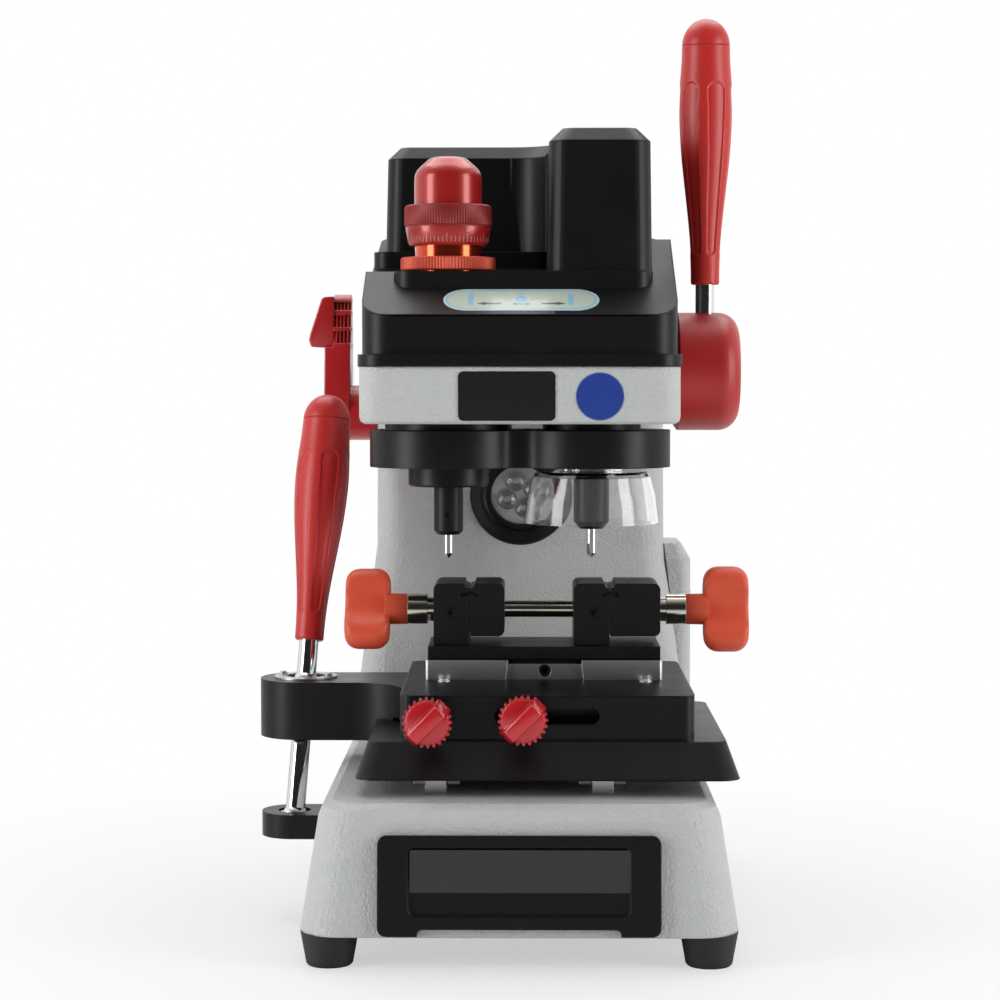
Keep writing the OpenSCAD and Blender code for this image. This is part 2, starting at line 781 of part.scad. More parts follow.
module lever_arm() {
    color([0.1, 0.1, 0.105]) place() difference() {
        union() {
            translate([0, 0, arm_z[0]]) linear_extrude(arm_z[1] - arm_z[0])
                arm_outline(table_x - table_w / 2);
            // tongue that is screwed to the table plate
            box([-90, plate_x[0]], [-5, 40], [plate_z[0], arm_z[1]]);
        }
        // the rod sways in this hollow
        translate([ball_high.x, ball_high.y, arm_z[0] - 1]) cylinder(r = 23.5, h = 24, $fn = 96);
        translate([ball_high.x, ball_high.y, arm_z[0]]) cylinder(r = ball_r + 1.2, h = 40, $fn = round_fn);
        translate([ball_high.x, ball_high.y, arm_z[1] - 5])
            cylinder(r1 = ball_r + 1.2, r2 = ring_bore_r, h = 5 + eps, $fn = round_fn);
        // room for the saddle
        box([-77, -40], [-60, 60], [arm_z[0] - 1, plate_z[0] - 2]);
        for (a = [-20, 160]) translate([ball_high.x, ball_high.y, arm_z[1] - 10]) rotate(a)
            translate([15.5, 0, 0]) cylinder(d = 3, h = 12, $fn = round_fn);
    }
}

module arm_ring() {
    color([0.6, 0.61, 0.61]) place() translate([ball_high.x, ball_high.y, arm_z[1]]) {
        difference() {
            cylinder(r = 19.5, h = 1.2, $fn = 96);
            translate([0, 0, -1]) cylinder(r = ring_bore_r, h = 4, $fn = round_fn);
            for (a = [-20, 160]) rotate(a) translate([15.5, 0, -1]) cylinder(d = 3, h = 4, $fn = round_fn);
        }
        for (a = [-20, 160]) rotate(a) translate([15.5, 0, 0]) {
            translate([0, 0, -8]) cylinder(d = 3, h = 8 + 1.2 + eps, $fn = round_fn);
            translate([0, 0, 1.2]) cylinder(r1 = 3, r2 = 1.9, h = 2, $fn = round_fn);
        }
    }
}

// ---------------------------------------------------------------- table lever

module along_lever() {
    translate(ball_low) rotate([0, lean_side, 0]) rotate([-lean_back, 0, 0]) children();
}

race_r = 9.5;

module ball_race() {
    color([0.6, 0.6, 0.62]) place() along_lever() difference() {
        intersection() {
            sphere(r = race_r, $fn = round_fn);
            translate([0, 0, -3]) cylinder(r = race_r + 1, h = 6, $fn = round_fn);
        }
        sphere(r = ball_r + fit, $fn = round_fn);
    }
}

grip_start = 110;

module table_lever_rod() {
    color([0.78, 0.78, 0.8]) place() along_lever() {
        sphere(r = ball_r, $fn = round_fn);
        cylinder(d = rod_d, h = grip_start + 34, $fn = round_fn);
        translate([0, 0, ball_span]) sphere(r = ball_r, $fn = round_fn);
    }
}

// Smooth step between two values
function ease(a, b, t) = a + (b - a) * (1 - cos(180 * t)) / 2;

// Outline of a grip along its axis: narrow foot, swell, shoulder and domed top
function grip_points(len) =
    let (r_foot = 9, r_max = grip_d / 2, r_neck = 15, z_max = len * 0.66, z_neck = len - 17)
    concat(
        [[0, 0], [r_foot - 1, 0], [r_foot, 1.5]],
        [for (i = [1 : 8]) [ease(r_foot, r_max, i / 8), 4 + (z_max - 4) * i / 8]],
        [for (i = [1 : 4]) [ease(r_max, r_neck, i / 4), z_max + (z_neck - z_max) * i / 4]],
        [for (a = [10 : 10 : 90]) [r_neck * cos(a), z_neck + 17 * sin(a)]]);

module grip(len) {
    difference() {
        turned(grip_points(len));
        translate([0, 0, -1]) cylinder(d = rod_d, h = 36, $fn = round_fn);
        // shallow flats between the ribs
        for (i = [0 : 5]) rotate(i * 60 + 30) translate([grip_d / 2 - 0.9, -30, len * 0.2])
            cube([10, 60, len * 0.62]);
    }
}

module table_lever_grip() {
    color([0.74, 0.1, 0.14]) place() along_lever() translate([0, 0, grip_start]) grip(table_grip_len);
}

// ---------------------------------------------------------------- head

module head_casting() {
    hw = head_w / 2;
    color([0.74, 0.76, 0.75]) place() difference() {
        union() {
            difference() {
                hull() {
                    slice([-hw + 3, hw - 3], [head_front + 3, head_back], head_z, 12);
                    slice([-hw + 0.8, hw - 0.8], [head_front + 0.8, head_back], head_z + 1.4, 13.6);
                    slice([-hw, hw], [head_front, head_back], head_z + 4, 14);
                    slice([-hw, hw], [head_front, head_back], casting_top - eps, 14);
                }
                slab([-hw + 8, hw - 8], [head_front + 8, head_back - 10], [head_z + floor_t, 350], 6);
            }
            // upright plate that carries the bearings
            box([-82, 82], [head_back - 10, head_back], [head_z + 6, back_plate_top]);
            // pedestals of the feed shaft
            for (x = support_x) {
                box([x - 6, x + 6], [feed_y - 13, feed_y + 13], [head_z + floor_t - 1, feed_z]);
                rod_x([x - 6, x + 6], feed_y, feed_z, 26);
            }
        }
        rod_x([support_x[0] - 20, support_x[1] + 20], feed_y, feed_z, feed_shaft_d + 2 * fit);
        // seats of the tracer sleeve and of the spindle
        rod_z(-half_gap, 0, [head_z - 1, head_z + 20], 28);
        rod_z(half_gap, 0, [head_z - 1, head_z + 20], 44);
        // window of the rack
        box([-9, 9], [rack_y - 5, head_back + 5], [head_z - 1, back_plate_top - 6]);
        // bore of the feed shaft
        rod_x([hw - 12, hw + 4], feed_y, feed_z, feed_shaft_d + 2);
    }
}

// Outer or inner form of the black cover; wall is 0 for the outside
module cover_body(wall) {
    hw = 93.5;
    low = wall > 0 ? -eps : 0;
    difference() {
        slab([-hw + wall, hw - wall], [-62 + wall, cover_rear - wall], [casting_top + low, 440],
            18 - wall / 2);
        // sloping deck
        translate([-150, -60, deck_z - wall * 1.03]) rotate([atan(deck_slope), 0, 0])
            translate([0, -60, 0]) cube([300, 400, 120]);
        // room for the column
        box([-150, 150], [head_back - wall, 300], [casting_top - 10, cover_low + wall]);
    }
    difference() {
        slab([-hw + wall, 20 - wall], [65 + wall, cover_rear - wall], [380, shoulder_z - wall], 10 - wall / 2);
        box([-150, 150], [head_back - wall, 300], [370, cover_low + wall]);
    }
    // low platform in front of the towers
    slab([-76 + wall, 80 - wall], [-30 + wall, 90], [370, platform_z - wall], 12 - wall / 2);
    // right tower
    difference() {
        hull() {
            slice([16 + wall, 80 - wall], [-28 + wall, cover_rear - wall], 366, 12 - wall / 2);
            slice([17.5 + wall, 78.5 - wall], [-26.5 + wall, cover_rear - 2 - wall],
                tower_top - 8 - wall / 2, 12 - wall / 2);
            slice([25.5 + wall / 2, 70.5 - wall / 2], [-18.5 + wall / 2, cover_rear - 10 - wall / 2],
                tower_top - wall, 8);
        }
        box([-150, 150], [head_back - wall, 300], [350, cover_low + wall]);
    }
    // left tower
    hull() {
        slice([-88 + wall, 60], [100 + wall, cover_rear - wall], cover_low + wall, 12 - wall / 2);
        slice([-86.5 + wall, 60], [101.5 + wall, cover_rear - 2 - wall],
            tower_top - 8 - wall / 2, 12 - wall / 2);
        slice([-78.5 + wall / 2, 60], [109.5 + wall / 2, cover_rear - 10 - wall / 2],
            tower_top - wall, 8);
    }
    // hollow corner between the towers
    corner_r = 22;
    difference() {
        box([16 - corner_r, 24], [101 - corner_r, 109], [cover_low + wall, tower_top - wall]);
        translate([16 - corner_r, 101 - corner_r, 300]) {
            cylinder(r = corner_r + wall, h = tower_top - 8 - 300, $fn = 96);
            translate([0, 0, tower_top - 8 - 300 - eps])
                cylinder(r1 = corner_r + wall, r2 = corner_r + 8 + wall, h = 8 + 2 * eps, $fn = 96);
        }
    }
}

module head_cover() {
    color([0.07, 0.07, 0.075]) place() difference() {
        union() {
            cover_body(0);
            // lip over the casting
            slab([-96, 96], [-64.5, head_back], [casting_top, casting_top + 7.3], 17);
        }
        cover_body(cover_wall);
        slab([-89.5, 89.5], [-58, head_back + 5], [casting_top - 1, casting_top + 8], 14);
        // opening for the micrometer
        rod_z(-half_gap, 0, [370, 420], 42);
        // notch for the feed shaft
        rod_x([84, 100], feed_y, feed_z, feed_shaft_d + 4);
        // the bearing plate of the casting closes the back
        box([-83, 83], [head_back - 5, head_back + 3], [casting_top - 1, back_plate_top + 1]);
    }
}

module head_bearings() {
    color("silver") place() for (x = [-z_rail_x, z_rail_x], z = [322, 366])
        translate([x, column_face, z]) rotate([90, 0, 0]) rotate([0, 0, 90]) rail_block(0);
}

// Plan of the spindle plate: two lobes joined by a hollow waist
module dog_bone() {
    waist_r = 15;
    waist_y = sqrt(pow(lobe_r + waist_r, 2) - pow(half_gap, 2));
    tx = half_gap * waist_r / (lobe_r + waist_r);
    ty = waist_y * lobe_r / (lobe_r + waist_r);
    for (s = [-1, 1]) translate([s * half_gap, 0]) circle(r = lobe_r, $fn = 96);
    difference() {
        square([2 * tx, 2 * ty], center = true);
        for (s = [-1, 1]) translate([0, s * waist_y]) circle(r = waist_r, $fn = 96);
    }
}

module spindle_plate() {
    color([0.06, 0.06, 0.065]) place() difference() {
        union() {
            translate([0, 0, plate_low]) linear_extrude(plate_high - plate_low) dog_bone();
            rod_z(-half_gap, 0, [plate_high - eps, head_z], 77.4);
            rod_z(half_gap, 0, [plate_high - eps, head_z], 60);
        }
        rod_z(-half_gap, 0, [plate_low - 1, head_z + 1], 24);
        rod_z(half_gap, 0, [plate_low - 1, head_z + 1], 30);
    }
}

module spindle_housing() {
    color([0.5, 0.5, 0.52]) place() translate([half_gap, 0, 0]) difference() {
        union() {
            translate([0, 0, head_z]) cylinder(d = 43.9, h = 42, $fn = round_fn);
            translate([0, 0, head_z + floor_t]) cylinder(d = 54, h = 5, $fn = round_fn);
        }
        translate([0, 0, head_z - 1]) cylinder(d = 16 + 2 * fit, h = 60, $fn = round_fn);
    }
}

module motor() {
    color([0.3, 0.3, 0.31]) place() translate([half_gap, 0, head_z + 42]) difference() {
        union() {
            cylinder(d = 42, h = 6, $fn = round_fn);
            translate([0, 0, 6 - eps]) cylinder(d = 41, h = 96, $fn = round_fn);
            translate([0, 0, 102 - 2 * eps]) cylinder(d = 30, h = 10, $fn = round_fn);
        }
        translate([0, 0, -1]) cylinder(d = 10 + 2 * fit, h = 22, $fn = round_fn);
    }
}

// Clear bell around the cutter, and the collar that holds it
module chip_guard() {
    bell = [[15.2, plate_low], [20, plate_low], [20, 273], [33, 273], [34.6, 272.2], [36, 270], [39.3, 258],
        [41.5, 241.6], [39.6, 241.6], [37.4, 257.6], [34.2, 269.4], [33, 271], [15.2, 271]];
    color([0.92, 0.94, 0.95, 0.35]) place() translate([half_gap, 0, 0]) turned(bell);
}

module tracer_flange() {
    ring = [[9 + fit, 264], [23.8, 264], [24.6, 265], [24.6, plate_low], [11.9, plate_low], [11.9, 300],
        [9 + fit, 300]];
    color([0.06, 0.06, 0.065]) place() translate([-half_gap, 0, 0]) turned(ring);
}

// Threaded sleeve of the micrometer, standing on the floor of the casting
sleeve_r = 20.3;

module micrometer_sleeve() {
    inner = 6 + fit;
    ring = [[inner, head_z + 0.2], [13.9, head_z + 0.2], [13.9, head_z + floor_t], [19, head_z + floor_t],
        [19, head_z + 16], [sleeve_r, head_z + 18], [sleeve_r, 432], [inner, 432]];
    color([0.85, 0.3, 0.15]) place() translate([-half_gap, 0, 0]) difference() {
        turned(ring);
        // room for the head of the quill
        translate([0, 0, 290]) cylinder(r = 9 + fit, h = 30, $fn = round_fn);
    }
}

// ---------------------------------------------------------------- spindle

module spindle() {
    nose = [[shank_d / 2, 238], [7.3, 238], [10.9, 242.5], [10.9, 269], [9.5, 270.5], [9.5, plate_low],
        [8, plate_low], [8, head_z + 38], [5, head_z + 38], [5, head_z + 60], [0, head_z + 60],
        [0, 252], [shank_d / 2, 252]];
    color([0.2, 0.2, 0.21]) place() translate([half_gap, 0, 0]) turned(nose);
}

// Cutter: shank, point, and two flutes cut into its end
module cutter() {
    r = shank_d / 2;
    color([0.75, 0.75, 0.77]) place() translate([half_gap, 0, 0]) difference() {
        turned([[0, tip_z], [r, tip_z + r], [r, 251.5], [0, 251.5]]);
        for (a = [30, 210]) rotate(a) translate([0.5, 0, tip_z - 1]) rotate([8, 0, 0])
            cube([r, r, 9.5]);
    }
}

module tracer_quill() {
    ring = [[shank_d / 2, 234.3], [6.8, 234.3], [9, 236.6], [9, 312], [6, 312], [6, 440], [0, 440],
        [0, 252], [shank_d / 2, 252]];
    color([0.18, 0.18, 0.19]) place() translate([-half_gap, 0, 0]) {
        difference() {
            turned(ring);
            rod_y(0, [-12, -6], 247, 4);
        }
        difference() {
            rod_y(0, [-8, -5.6], 247, 4);
            translate([0, -9, 247]) rotate([-90, 0, 0]) cylinder(r = 1.2, h = 2.4, $fn = 6);
        }
    }
}

module tracer_point() {
    r = shank_d / 2;
    color([0.78, 0.78, 0.8]) place() translate([-half_gap, 0, 0])
        turned([[0, tip_z], [0.5, tip_z], [r, tip_z + 2.8], [r, 251.5], [0, 251.5]]);
}

// Graduated ring, knurled ring and cap turn as one
module micrometer_cap() {
    bore_r = sleeve_r + fit;
    shell = [[bore_r, 410], [24.3, 410], [26.3, 421.5], [26.7, 422], [26.7, 434], [26, 435], [21, 435],
        [21, 456], [19.5, 461], [16, 464.6], [11.5, 466], [0, 466], [0, 448], [10, 448], [10, 436],
        [bore_r, 436]];
    notches = 60;
    color([0.68, 0.09, 0.1]) place() translate([-half_gap, 0, 0]) difference() {
        turned(shell);
        // knurl of the grip ring
        for (i = [0 : notches - 1]) rotate(i * 360 / notches) translate([26.8, 0, 422.5])
            cylinder(r = 0.5, h = 12, $fn = 4);
    }
}

module lock_ring() {
    notches = 60;
    color([0.85, 0.3, 0.2]) place() translate([-half_gap, 0, 0]) difference() {
        turned([[sleeve_r + fit, 395], [28, 395], [29, 396], [29, 402.4], [28.2, 403], [sleeve_r + fit, 403]]);
        for (i = [0 : notches - 1]) rotate(i * 360 / notches) translate([29.2, 0, 394])
            cylinder(r = 0.6, h = 10, $fn = 4);
    }
}

// ---------------------------------------------------------------- feed

// Involute tooth of the pinion: angle of the flank at radius r, from the tooth's middle
function inv(a) = tan(a) * 180 / PI - a;
base_circle = pinion_r * cos(20);
function half_tooth(r) = let (a = r > base_circle ? acos(base_circle / r) : 0)
    90 / pinion_teeth - rack_play / pinion_r * 90 / PI + inv(20) - inv(a);

module pinion_outline() {
    root = pinion_r - 1.25 * gear_module;
    tip = pinion_r + gear_module;
    radii = [root, base_circle, pinion_r - 0.5, pinion_r + 0.5, tip];
    polygon([for (i = [0 : pinion_teeth - 1]) for (s = [-1, 1]) for (k = [0 : 4])
        let (r = radii[s < 0 ? k : 4 - k], a = i * 360 / pinion_teeth + s * half_tooth(max(r, base_circle)))
        [r * cos(a), r * sin(a)]]);
}

module feed_shaft() {
    color([0.6, 0.6, 0.62]) place() translate([0, feed_y, feed_z]) rotate([0, 90, 0]) {
        translate([0, 0, -58]) cylinder(d = feed_shaft_d, h = 58 + hub_x[0] + 22, $fn = round_fn);
        translate([0, 0, -7]) rotate(90) linear_extrude(14) pinion_outline();
    }
}

module feed_hub() {
    w = hub_x[1] - hub_x[0];
    edge = 13;
    dome = concat([[feed_shaft_d / 2, 0], [hub_r - 2.5, 0], [hub_r, 2]],
        [for (a = [0 : 10 : 90]) [hub_r - edge + edge * cos(a), w - edge + edge * sin(a)]],
        [[0, w], [0, 22], [feed_shaft_d / 2, 22]]);
    color([0.74, 0.09, 0.12]) place() difference() {
        translate([hub_x[0], feed_y, feed_z]) rotate([0, 90, 0]) rotate([0, 0, 90]) rotate_extrude($fn = 96)
            polygon(dome);
        rod_z(feed_rod_x, feed_y, [feed_z + 14, feed_z + 60], rod_d);
    }
}

module feed_rod() {
    color([0.78, 0.78, 0.8]) place()
        rod_z(feed_rod_x, feed_y, [feed_z + 14, feed_grip_z + 34], rod_d);
}
module feed_grip() {
    color([0.74, 0.1, 0.14]) place() translate([feed_rod_x, feed_y, feed_grip_z]) grip(feed_grip_len);
}

// ---------------------------------------------------------------- lock lever of the head

lock_x = [-130, -114];
lock_len = 78;

module lock_lever() {
    color([0.72, 0.08, 0.12]) place() translate([0, lock_y, lock_z]) {
        // hub and pivot
        rod_x([lock_x[0], -95.6], 0, 0, 37);
        rod_x([lock_x[0], -74], 0, 0, 12);
        // broad arm with a round head, seen edge on from the front
        translate([lock_x[0], 0, 0]) rotate([90, 0, 90]) linear_extrude(lock_x[1] - lock_x[0]) difference() {
            union() {
                circle(r = 18.5, $fn = round_fn);
                polygon([[-18.5, 0], [-17, 30], [-13, 55], [-6, 72], [0, lock_len], [6, lock_len],
                    [14, 72], [18.5, 60], [18.5, 0]]);
            }
        }
        // thumb tab on its outer side
        translate([0, 10, 0]) rotate([90, 0, 0]) linear_extrude(16)
            polygon([[lock_x[0] + 1, 43], [lock_x[0] - 12, 44], [lock_x[0] - 13, 49], [lock_x[0] - 5, 72],
                [lock_x[0] + 1, 74]]);
    }
}

// ---------------------------------------------------------------- nodes

base_casting();
bottom_plate();
rubber_feet();
foot_screws();
badge_frame();
lamp_bezel();
lamp_glass();
lamp_leds();
lever_bracket();
slide_rails();
feed_rack();
side_box();
rear_plate();
power_inlet();
power_switch();
saddle();
y_bearings();
x_rails();
x_lock_knob();
table_plate();
x_bearings();
table_cover();
table_screws();
vise_mount();
vise_base();
left_fixed_jaw();
right_fixed_jaw();
jaw_screws();
lever_arm();
arm_ring();
y_lock_knob();
left_moving_jaw();
left_clamp_screw();
left_wing_knob();
right_moving_jaw();
right_clamp_screw();
right_wing_knob();
ball_race();
table_lever_rod();
table_lever_grip();
head_casting();
head_cover();
head_bearings();
spindle_plate();
spindle_housing();
motor();
chip_guard();
tracer_flange();
micrometer_sleeve();
spindle();
cutter();
tracer_quill();
tracer_point();
micrometer_cap();
lock_ring();
feed_shaft();
feed_hub();
feed_rod();
feed_grip();
lock_lever();
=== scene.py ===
"""The finishes, closer forms and small trim of a vertical key duplicating machine.

Lengths are in metres. The machine faces -Y: the tracer and its micrometer are on the
left, the cutter spindle and the feed lever on the right.
"""
import math

import bmesh
import bpy
from mathutils import Matrix, Vector
from mathutils.bvhtree import BVHTree


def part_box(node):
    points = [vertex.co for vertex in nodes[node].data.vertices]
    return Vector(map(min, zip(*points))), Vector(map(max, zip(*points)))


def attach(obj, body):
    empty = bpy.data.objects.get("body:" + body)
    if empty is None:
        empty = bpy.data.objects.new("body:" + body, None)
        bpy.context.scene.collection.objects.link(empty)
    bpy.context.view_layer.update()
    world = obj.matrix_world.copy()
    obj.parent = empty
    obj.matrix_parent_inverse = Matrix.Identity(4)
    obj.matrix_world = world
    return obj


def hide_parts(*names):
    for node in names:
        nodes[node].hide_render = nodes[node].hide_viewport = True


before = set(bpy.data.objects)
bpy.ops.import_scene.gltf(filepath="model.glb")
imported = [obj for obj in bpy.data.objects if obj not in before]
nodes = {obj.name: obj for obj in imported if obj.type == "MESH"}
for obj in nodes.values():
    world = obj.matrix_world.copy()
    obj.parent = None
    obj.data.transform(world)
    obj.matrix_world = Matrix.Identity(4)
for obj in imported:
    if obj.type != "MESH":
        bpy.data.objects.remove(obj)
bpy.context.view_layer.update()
scene = bpy.context.scene

MM = 0.001

# Places that are worked out from the frame
tracer_low, tracer_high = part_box("tracer_point")
cutter_low, cutter_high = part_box("cutter")
TRACER_X = (tracer_low.x + tracer_high.x) / 2
CUTTER_X = (cutter_low.x + cutter_high.x) / 2
TOOL_Y = (tracer_low.y + tracer_high.y) / 2
MIDDLE_X = (TRACER_X + CUTTER_X) / 2


# ---------------------------------------------------------------- camera

CAMERA_BACK = 1.5  # distance of the camera in front of the tools
CAMERA_SIDE = 0.00355
CAMERA_HEIGHT = 0.333
CAMERA_YAW = -0.0105  # sideways and downward slope of the line of sight
CAMERA_DIP = -0.05177
CAMERA_LENS = 88.3


def add_camera():
    data = bpy.data.cameras.new("camera")
    data.lens = CAMERA_LENS
    data.sensor_width = 36.0
    data.clip_start = 0.05
    data.clip_end = 50.0
    camera = bpy.data.objects.new("camera", data)
    scene.collection.objects.link(camera)
    camera.location = (MIDDLE_X + CAMERA_SIDE, TOOL_Y - CAMERA_BACK, CAMERA_HEIGHT)
    sight = Vector((CAMERA_YAW, 1.0, CAMERA_DIP))
    camera.rotation_euler = sight.to_track_quat("-Z", "Y").to_euler()
    scene.camera = camera


# ---------------------------------------------------------------- materials

def new_finish(name, colour, roughness, metallic=0.0):
    """A material with one Principled surface; returns the material and that node."""
    material = bpy.data.materials.new(name)
    material.use_nodes = True
    surface = material.node_tree.nodes["Principled BSDF"]
    surface.inputs["Base Color"].default_value = (*colour, 1.0)
    surface.inputs["Roughness"].default_value = roughness
    surface.inputs["Metallic"].default_value = metallic
    material.diffuse_color = (*colour, 1.0)
    return material, surface


def add_node(material, kind, **values):
    node = material.node_tree.nodes.new(kind)
    for key, value in values.items():
        if hasattr(node, key):
            setattr(node, key, value)
        else:
            node.inputs[key].default_value = value
    return node


def link(material, source, target):
    material.node_tree.links.new(source, target)


def own_place(material, stretch=(1.0, 1.0, 1.0), centre=(0.0, 0.0, 0.0)):
    """Object coordinates, moved to a centre and stretched along the axes."""
    coordinates = add_node(material, "ShaderNodeTexCoord")
    mapping = add_node(material, "ShaderNodeMapping", vector_type="TEXTURE")
    mapping.inputs["Location"].default_value = centre
    mapping.inputs["Scale"].default_value = [1.0 / s for s in stretch]
    link(material, coordinates.outputs["Object"], mapping.inputs["Vector"])
    return mapping.outputs["Vector"]


def grain(material, per_metre, detail=2.0, stretch=(1.0, 1.0, 1.0), distortion=0.0):
    """Noise with so many cells to the metre."""
    noise = add_node(material, "ShaderNodeTexNoise")
    noise.inputs["Scale"].default_value = per_metre
    noise.inputs["Detail"].default_value = detail
    noise.inputs["Distortion"].default_value = distortion
    link(material, own_place(material, stretch), noise.inputs["Vector"])
    return noise.outputs["Fac"]


def cells(material, per_metre, smooth=1.0):
    """Rounded cells, as in orange peel or a moulded grain."""
    voronoi = add_node(material, "ShaderNodeTexVoronoi", feature="SMOOTH_F1")
    voronoi.inputs["Scale"].default_value = per_metre
    voronoi.inputs["Smoothness"].default_value = smooth
    link(material, own_place(material), voronoi.inputs["Vector"])
    return voronoi.outputs["Distance"]


def spread(material, value, low, high):
    """Maps a value from 0..1 to low..high."""
    ranged = add_node(material, "ShaderNodeMapRange")
    ranged.inputs["To Min"].default_value = low
    ranged.inputs["To Max"].default_value = high
    link(material, value, ranged.inputs["Value"])
    return ranged.outputs["Result"]


def total(material, first, second, share):
    """first plus share times second."""
    adder = add_node(material, "ShaderNodeMath", operation="MULTIPLY_ADD")
    adder.inputs[1].default_value = share
    link(material, second, adder.inputs[0])
    link(material, first, adder.inputs[2])
    return adder.outputs["Value"]


def blend_colours(material, factor, first, second):
    mix = add_node(material, "ShaderNodeMix", data_type="RGBA")
    # a colour mix has its factor at 0, its colours at 6 and 7, and its result at 2
    mix.inputs[6].default_value = (*first, 1.0)
    mix.inputs[7].default_value = (*second, 1.0)
    link(material, factor, mix.inputs[0])
    return mix.outputs[2]


def add_bump(material, surface, height, depth, edge=0.0):
    """Bump of so many metres, over edges that are rounded by the given radius."""
    bump = add_node(material, "ShaderNodeBump")
    bump.inputs["Strength"].default_value = 1.0
    bump.inputs["Distance"].default_value = depth
    link(material, height, bump.inputs["Height"])
    if edge:
        bevel = add_node(material, "ShaderNodeBevel", samples=6)
        bevel.inputs["Radius"].default_value = edge
        link(material, bevel.outputs["Normal"], bump.inputs["Normal"])
    link(material, bump.outputs["Normal"], surface.inputs["Normal"])


def casting_paint():
    """Light grey stoving paint with a worm-like orange peel."""
    material, surface = new_finish("casting_paint", (0.53, 0.548, 0.54), 0.4)
    peel = total(material, grain(material, 620.0, 1.0, distortion=0.6), cells(material, 1300.0), 0.3)
    add_bump(material, surface, peel, 0.0008, edge=0.0016)
    cloud = grain(material, 18.0, 3.0)
    tone = blend_colours(material, cloud, (0.51, 0.528, 0.52), (0.55, 0.568, 0.56))
    link(material, tone, surface.inputs["Base Color"])
    link(material, spread(material, grain(material, 60.0), 0.34, 0.46), surface.inputs["Roughness"])
    surface.inputs["Specular IOR Level"].default_value = 0.45
    return material


def moulded_black(name="moulded_black", edge=0.0016, depth=0.00006):
    """Black moulded cover with a fine even grain."""
    material, surface = new_finish(name, (0.009, 0.009, 0.01), 0.36)
    surface.inputs["Specular IOR Level"].default_value = 0.24
    skin = total(material, cells(material, 1500.0), grain(material, 3200.0, 1.0), 0.4)
    add_bump(material, surface, skin, depth, edge=edge)
    cloud = grain(material, 25.0, 3.0)
    tone = blend_colours(material, cloud, (0.004, 0.004, 0.0045), (0.007, 0.007, 0.0075))
    link(material, tone, surface.inputs["Base Color"])
    link(material, spread(material, grain(material, 40.0), 0.32, 0.42), surface.inputs["Roughness"])
    return material


def black_coat():
    """Satin black powder coat on machined metal."""
    material, surface = new_finish("black_coat", (0.01, 0.01, 0.011), 0.34)
    surface.inputs["Specular IOR Level"].default_value = 0.24
    add_bump(material, surface, grain(material, 1800.0, 2.0), 0.00003, edge=0.0008)
    cloud = grain(material, 35.0, 3.0)
    tone = blend_colours(material, cloud, (0.004, 0.004, 0.0045), (0.008, 0.008, 0.0085))
    link(material, tone, surface.inputs["Base Color"])
    link(material, spread(material, grain(material, 70.0), 0.28, 0.42), surface.inputs["Roughness"])
    return material


def black_oxide():
    """Blued steel with fine grinding marks along X."""
    material, surface = new_finish("black_oxide", (0.006, 0.006, 0.0065), 0.4, 0.2)
    surface.inputs["Specular IOR Level"].default_value = 0.3
    marks = grain(material, 900.0, 2.0, stretch=(0.08, 1.0, 1.0))
    add_bump(material, surface, marks, 0.00002, edge=0.0006)
    tone = blend_colours(material, grain(material, 45.0, 4.0), (0.004, 0.004, 0.0045), (0.009, 0.009, 0.009))
    link(material, tone, surface.inputs["Base Color"])
    link(material, spread(material, marks, 0.32, 0.48), surface.inputs["Roughness"])
    return material


def brushed(name, colour, roughness, stretch, edge=0.0004):
    """Bare metal with brush marks drawn out along one axis."""
    material, surface = new_finish(name, colour, roughness, 1.0)
    marks = grain(material, 1500.0, 2.0, stretch=stretch)
    add_bump(material, surface, marks, 0.000012, edge=edge)
    link(material, spread(material, marks, roughness - 0.06, roughness + 0.08), surface.inputs["Roughness"])
    return material


def polished(name, colour, roughness):
    """Plated metal with a faint haze."""
    material, surface = new_finish(name, colour, roughness, 1.0)
    haze = grain(material, 120.0, 3.0)
    link(material, spread(material, haze, roughness * 0.7, roughness * 1.6), surface.inputs["Roughness"])
    add_bump(material, surface, grain(material, 900.0, 1.0), 0.000002, edge=0.0003)
    return material


def glossy_plastic(name, colour, roughness, coat=0.6, edge=0.0006):
    """Moulded plastic with a smooth skin."""
    material, surface = new_finish(name, colour, roughness)
    surface.inputs["Coat Weight"].default_value = coat
    surface.inputs["Coat Roughness"].default_value = 0.12
    dark = [c * 0.88 for c in colour]
    tone = blend_colours(material, grain(material, 30.0, 3.0), dark, colour)
    link(material, tone, surface.inputs["Base Color"])
    add_bump(material, surface, grain(material, 350.0, 2.0), 0.00001, edge=edge)
    return material


def satin_plastic(name, colour, roughness, edge=0.0006):
    """Moulded plastic with a fine spark-eroded skin."""
    material, surface = new_finish(name, colour, roughness)
    surface.inputs["Subsurface Weight"].default_value = 0.05
    surface.inputs["Subsurface Radius"].default_value = (0.003, 0.001, 0.0005)
    skin = total(material, cells(material, 2400.0), grain(material, 5200.0, 1.0), 0.4)
    add_bump(material, surface, skin, 0.00005, edge=edge)
    dark = [c * 0.9 for c in colour]
    tone = blend_colours(material, grain(material, 45.0, 3.0), dark, colour)
    link(material, tone, surface.inputs["Base Color"])
    return material


def dyed_metal(name, colour, roughness, metallic, coat):
    """Dyed aluminium with turning marks round Z."""
    material, surface = new_finish(name, colour, roughness, metallic)
    marks = grain(material, 2600.0, 1.0, stretch=(0.05, 0.05, 1.0))
    add_bump(material, surface, marks, 0.000006, edge=0.0004)
    surface.inputs["Coat Weight"].default_value = coat
    surface.inputs["Coat Roughness"].default_value = 0.1
    dark = [c * 0.85 for c in colour]
    tone = blend_colours(material, grain(material, 60.0, 3.0), dark, colour)
    link(material, tone, surface.inputs["Base Color"])
    return material


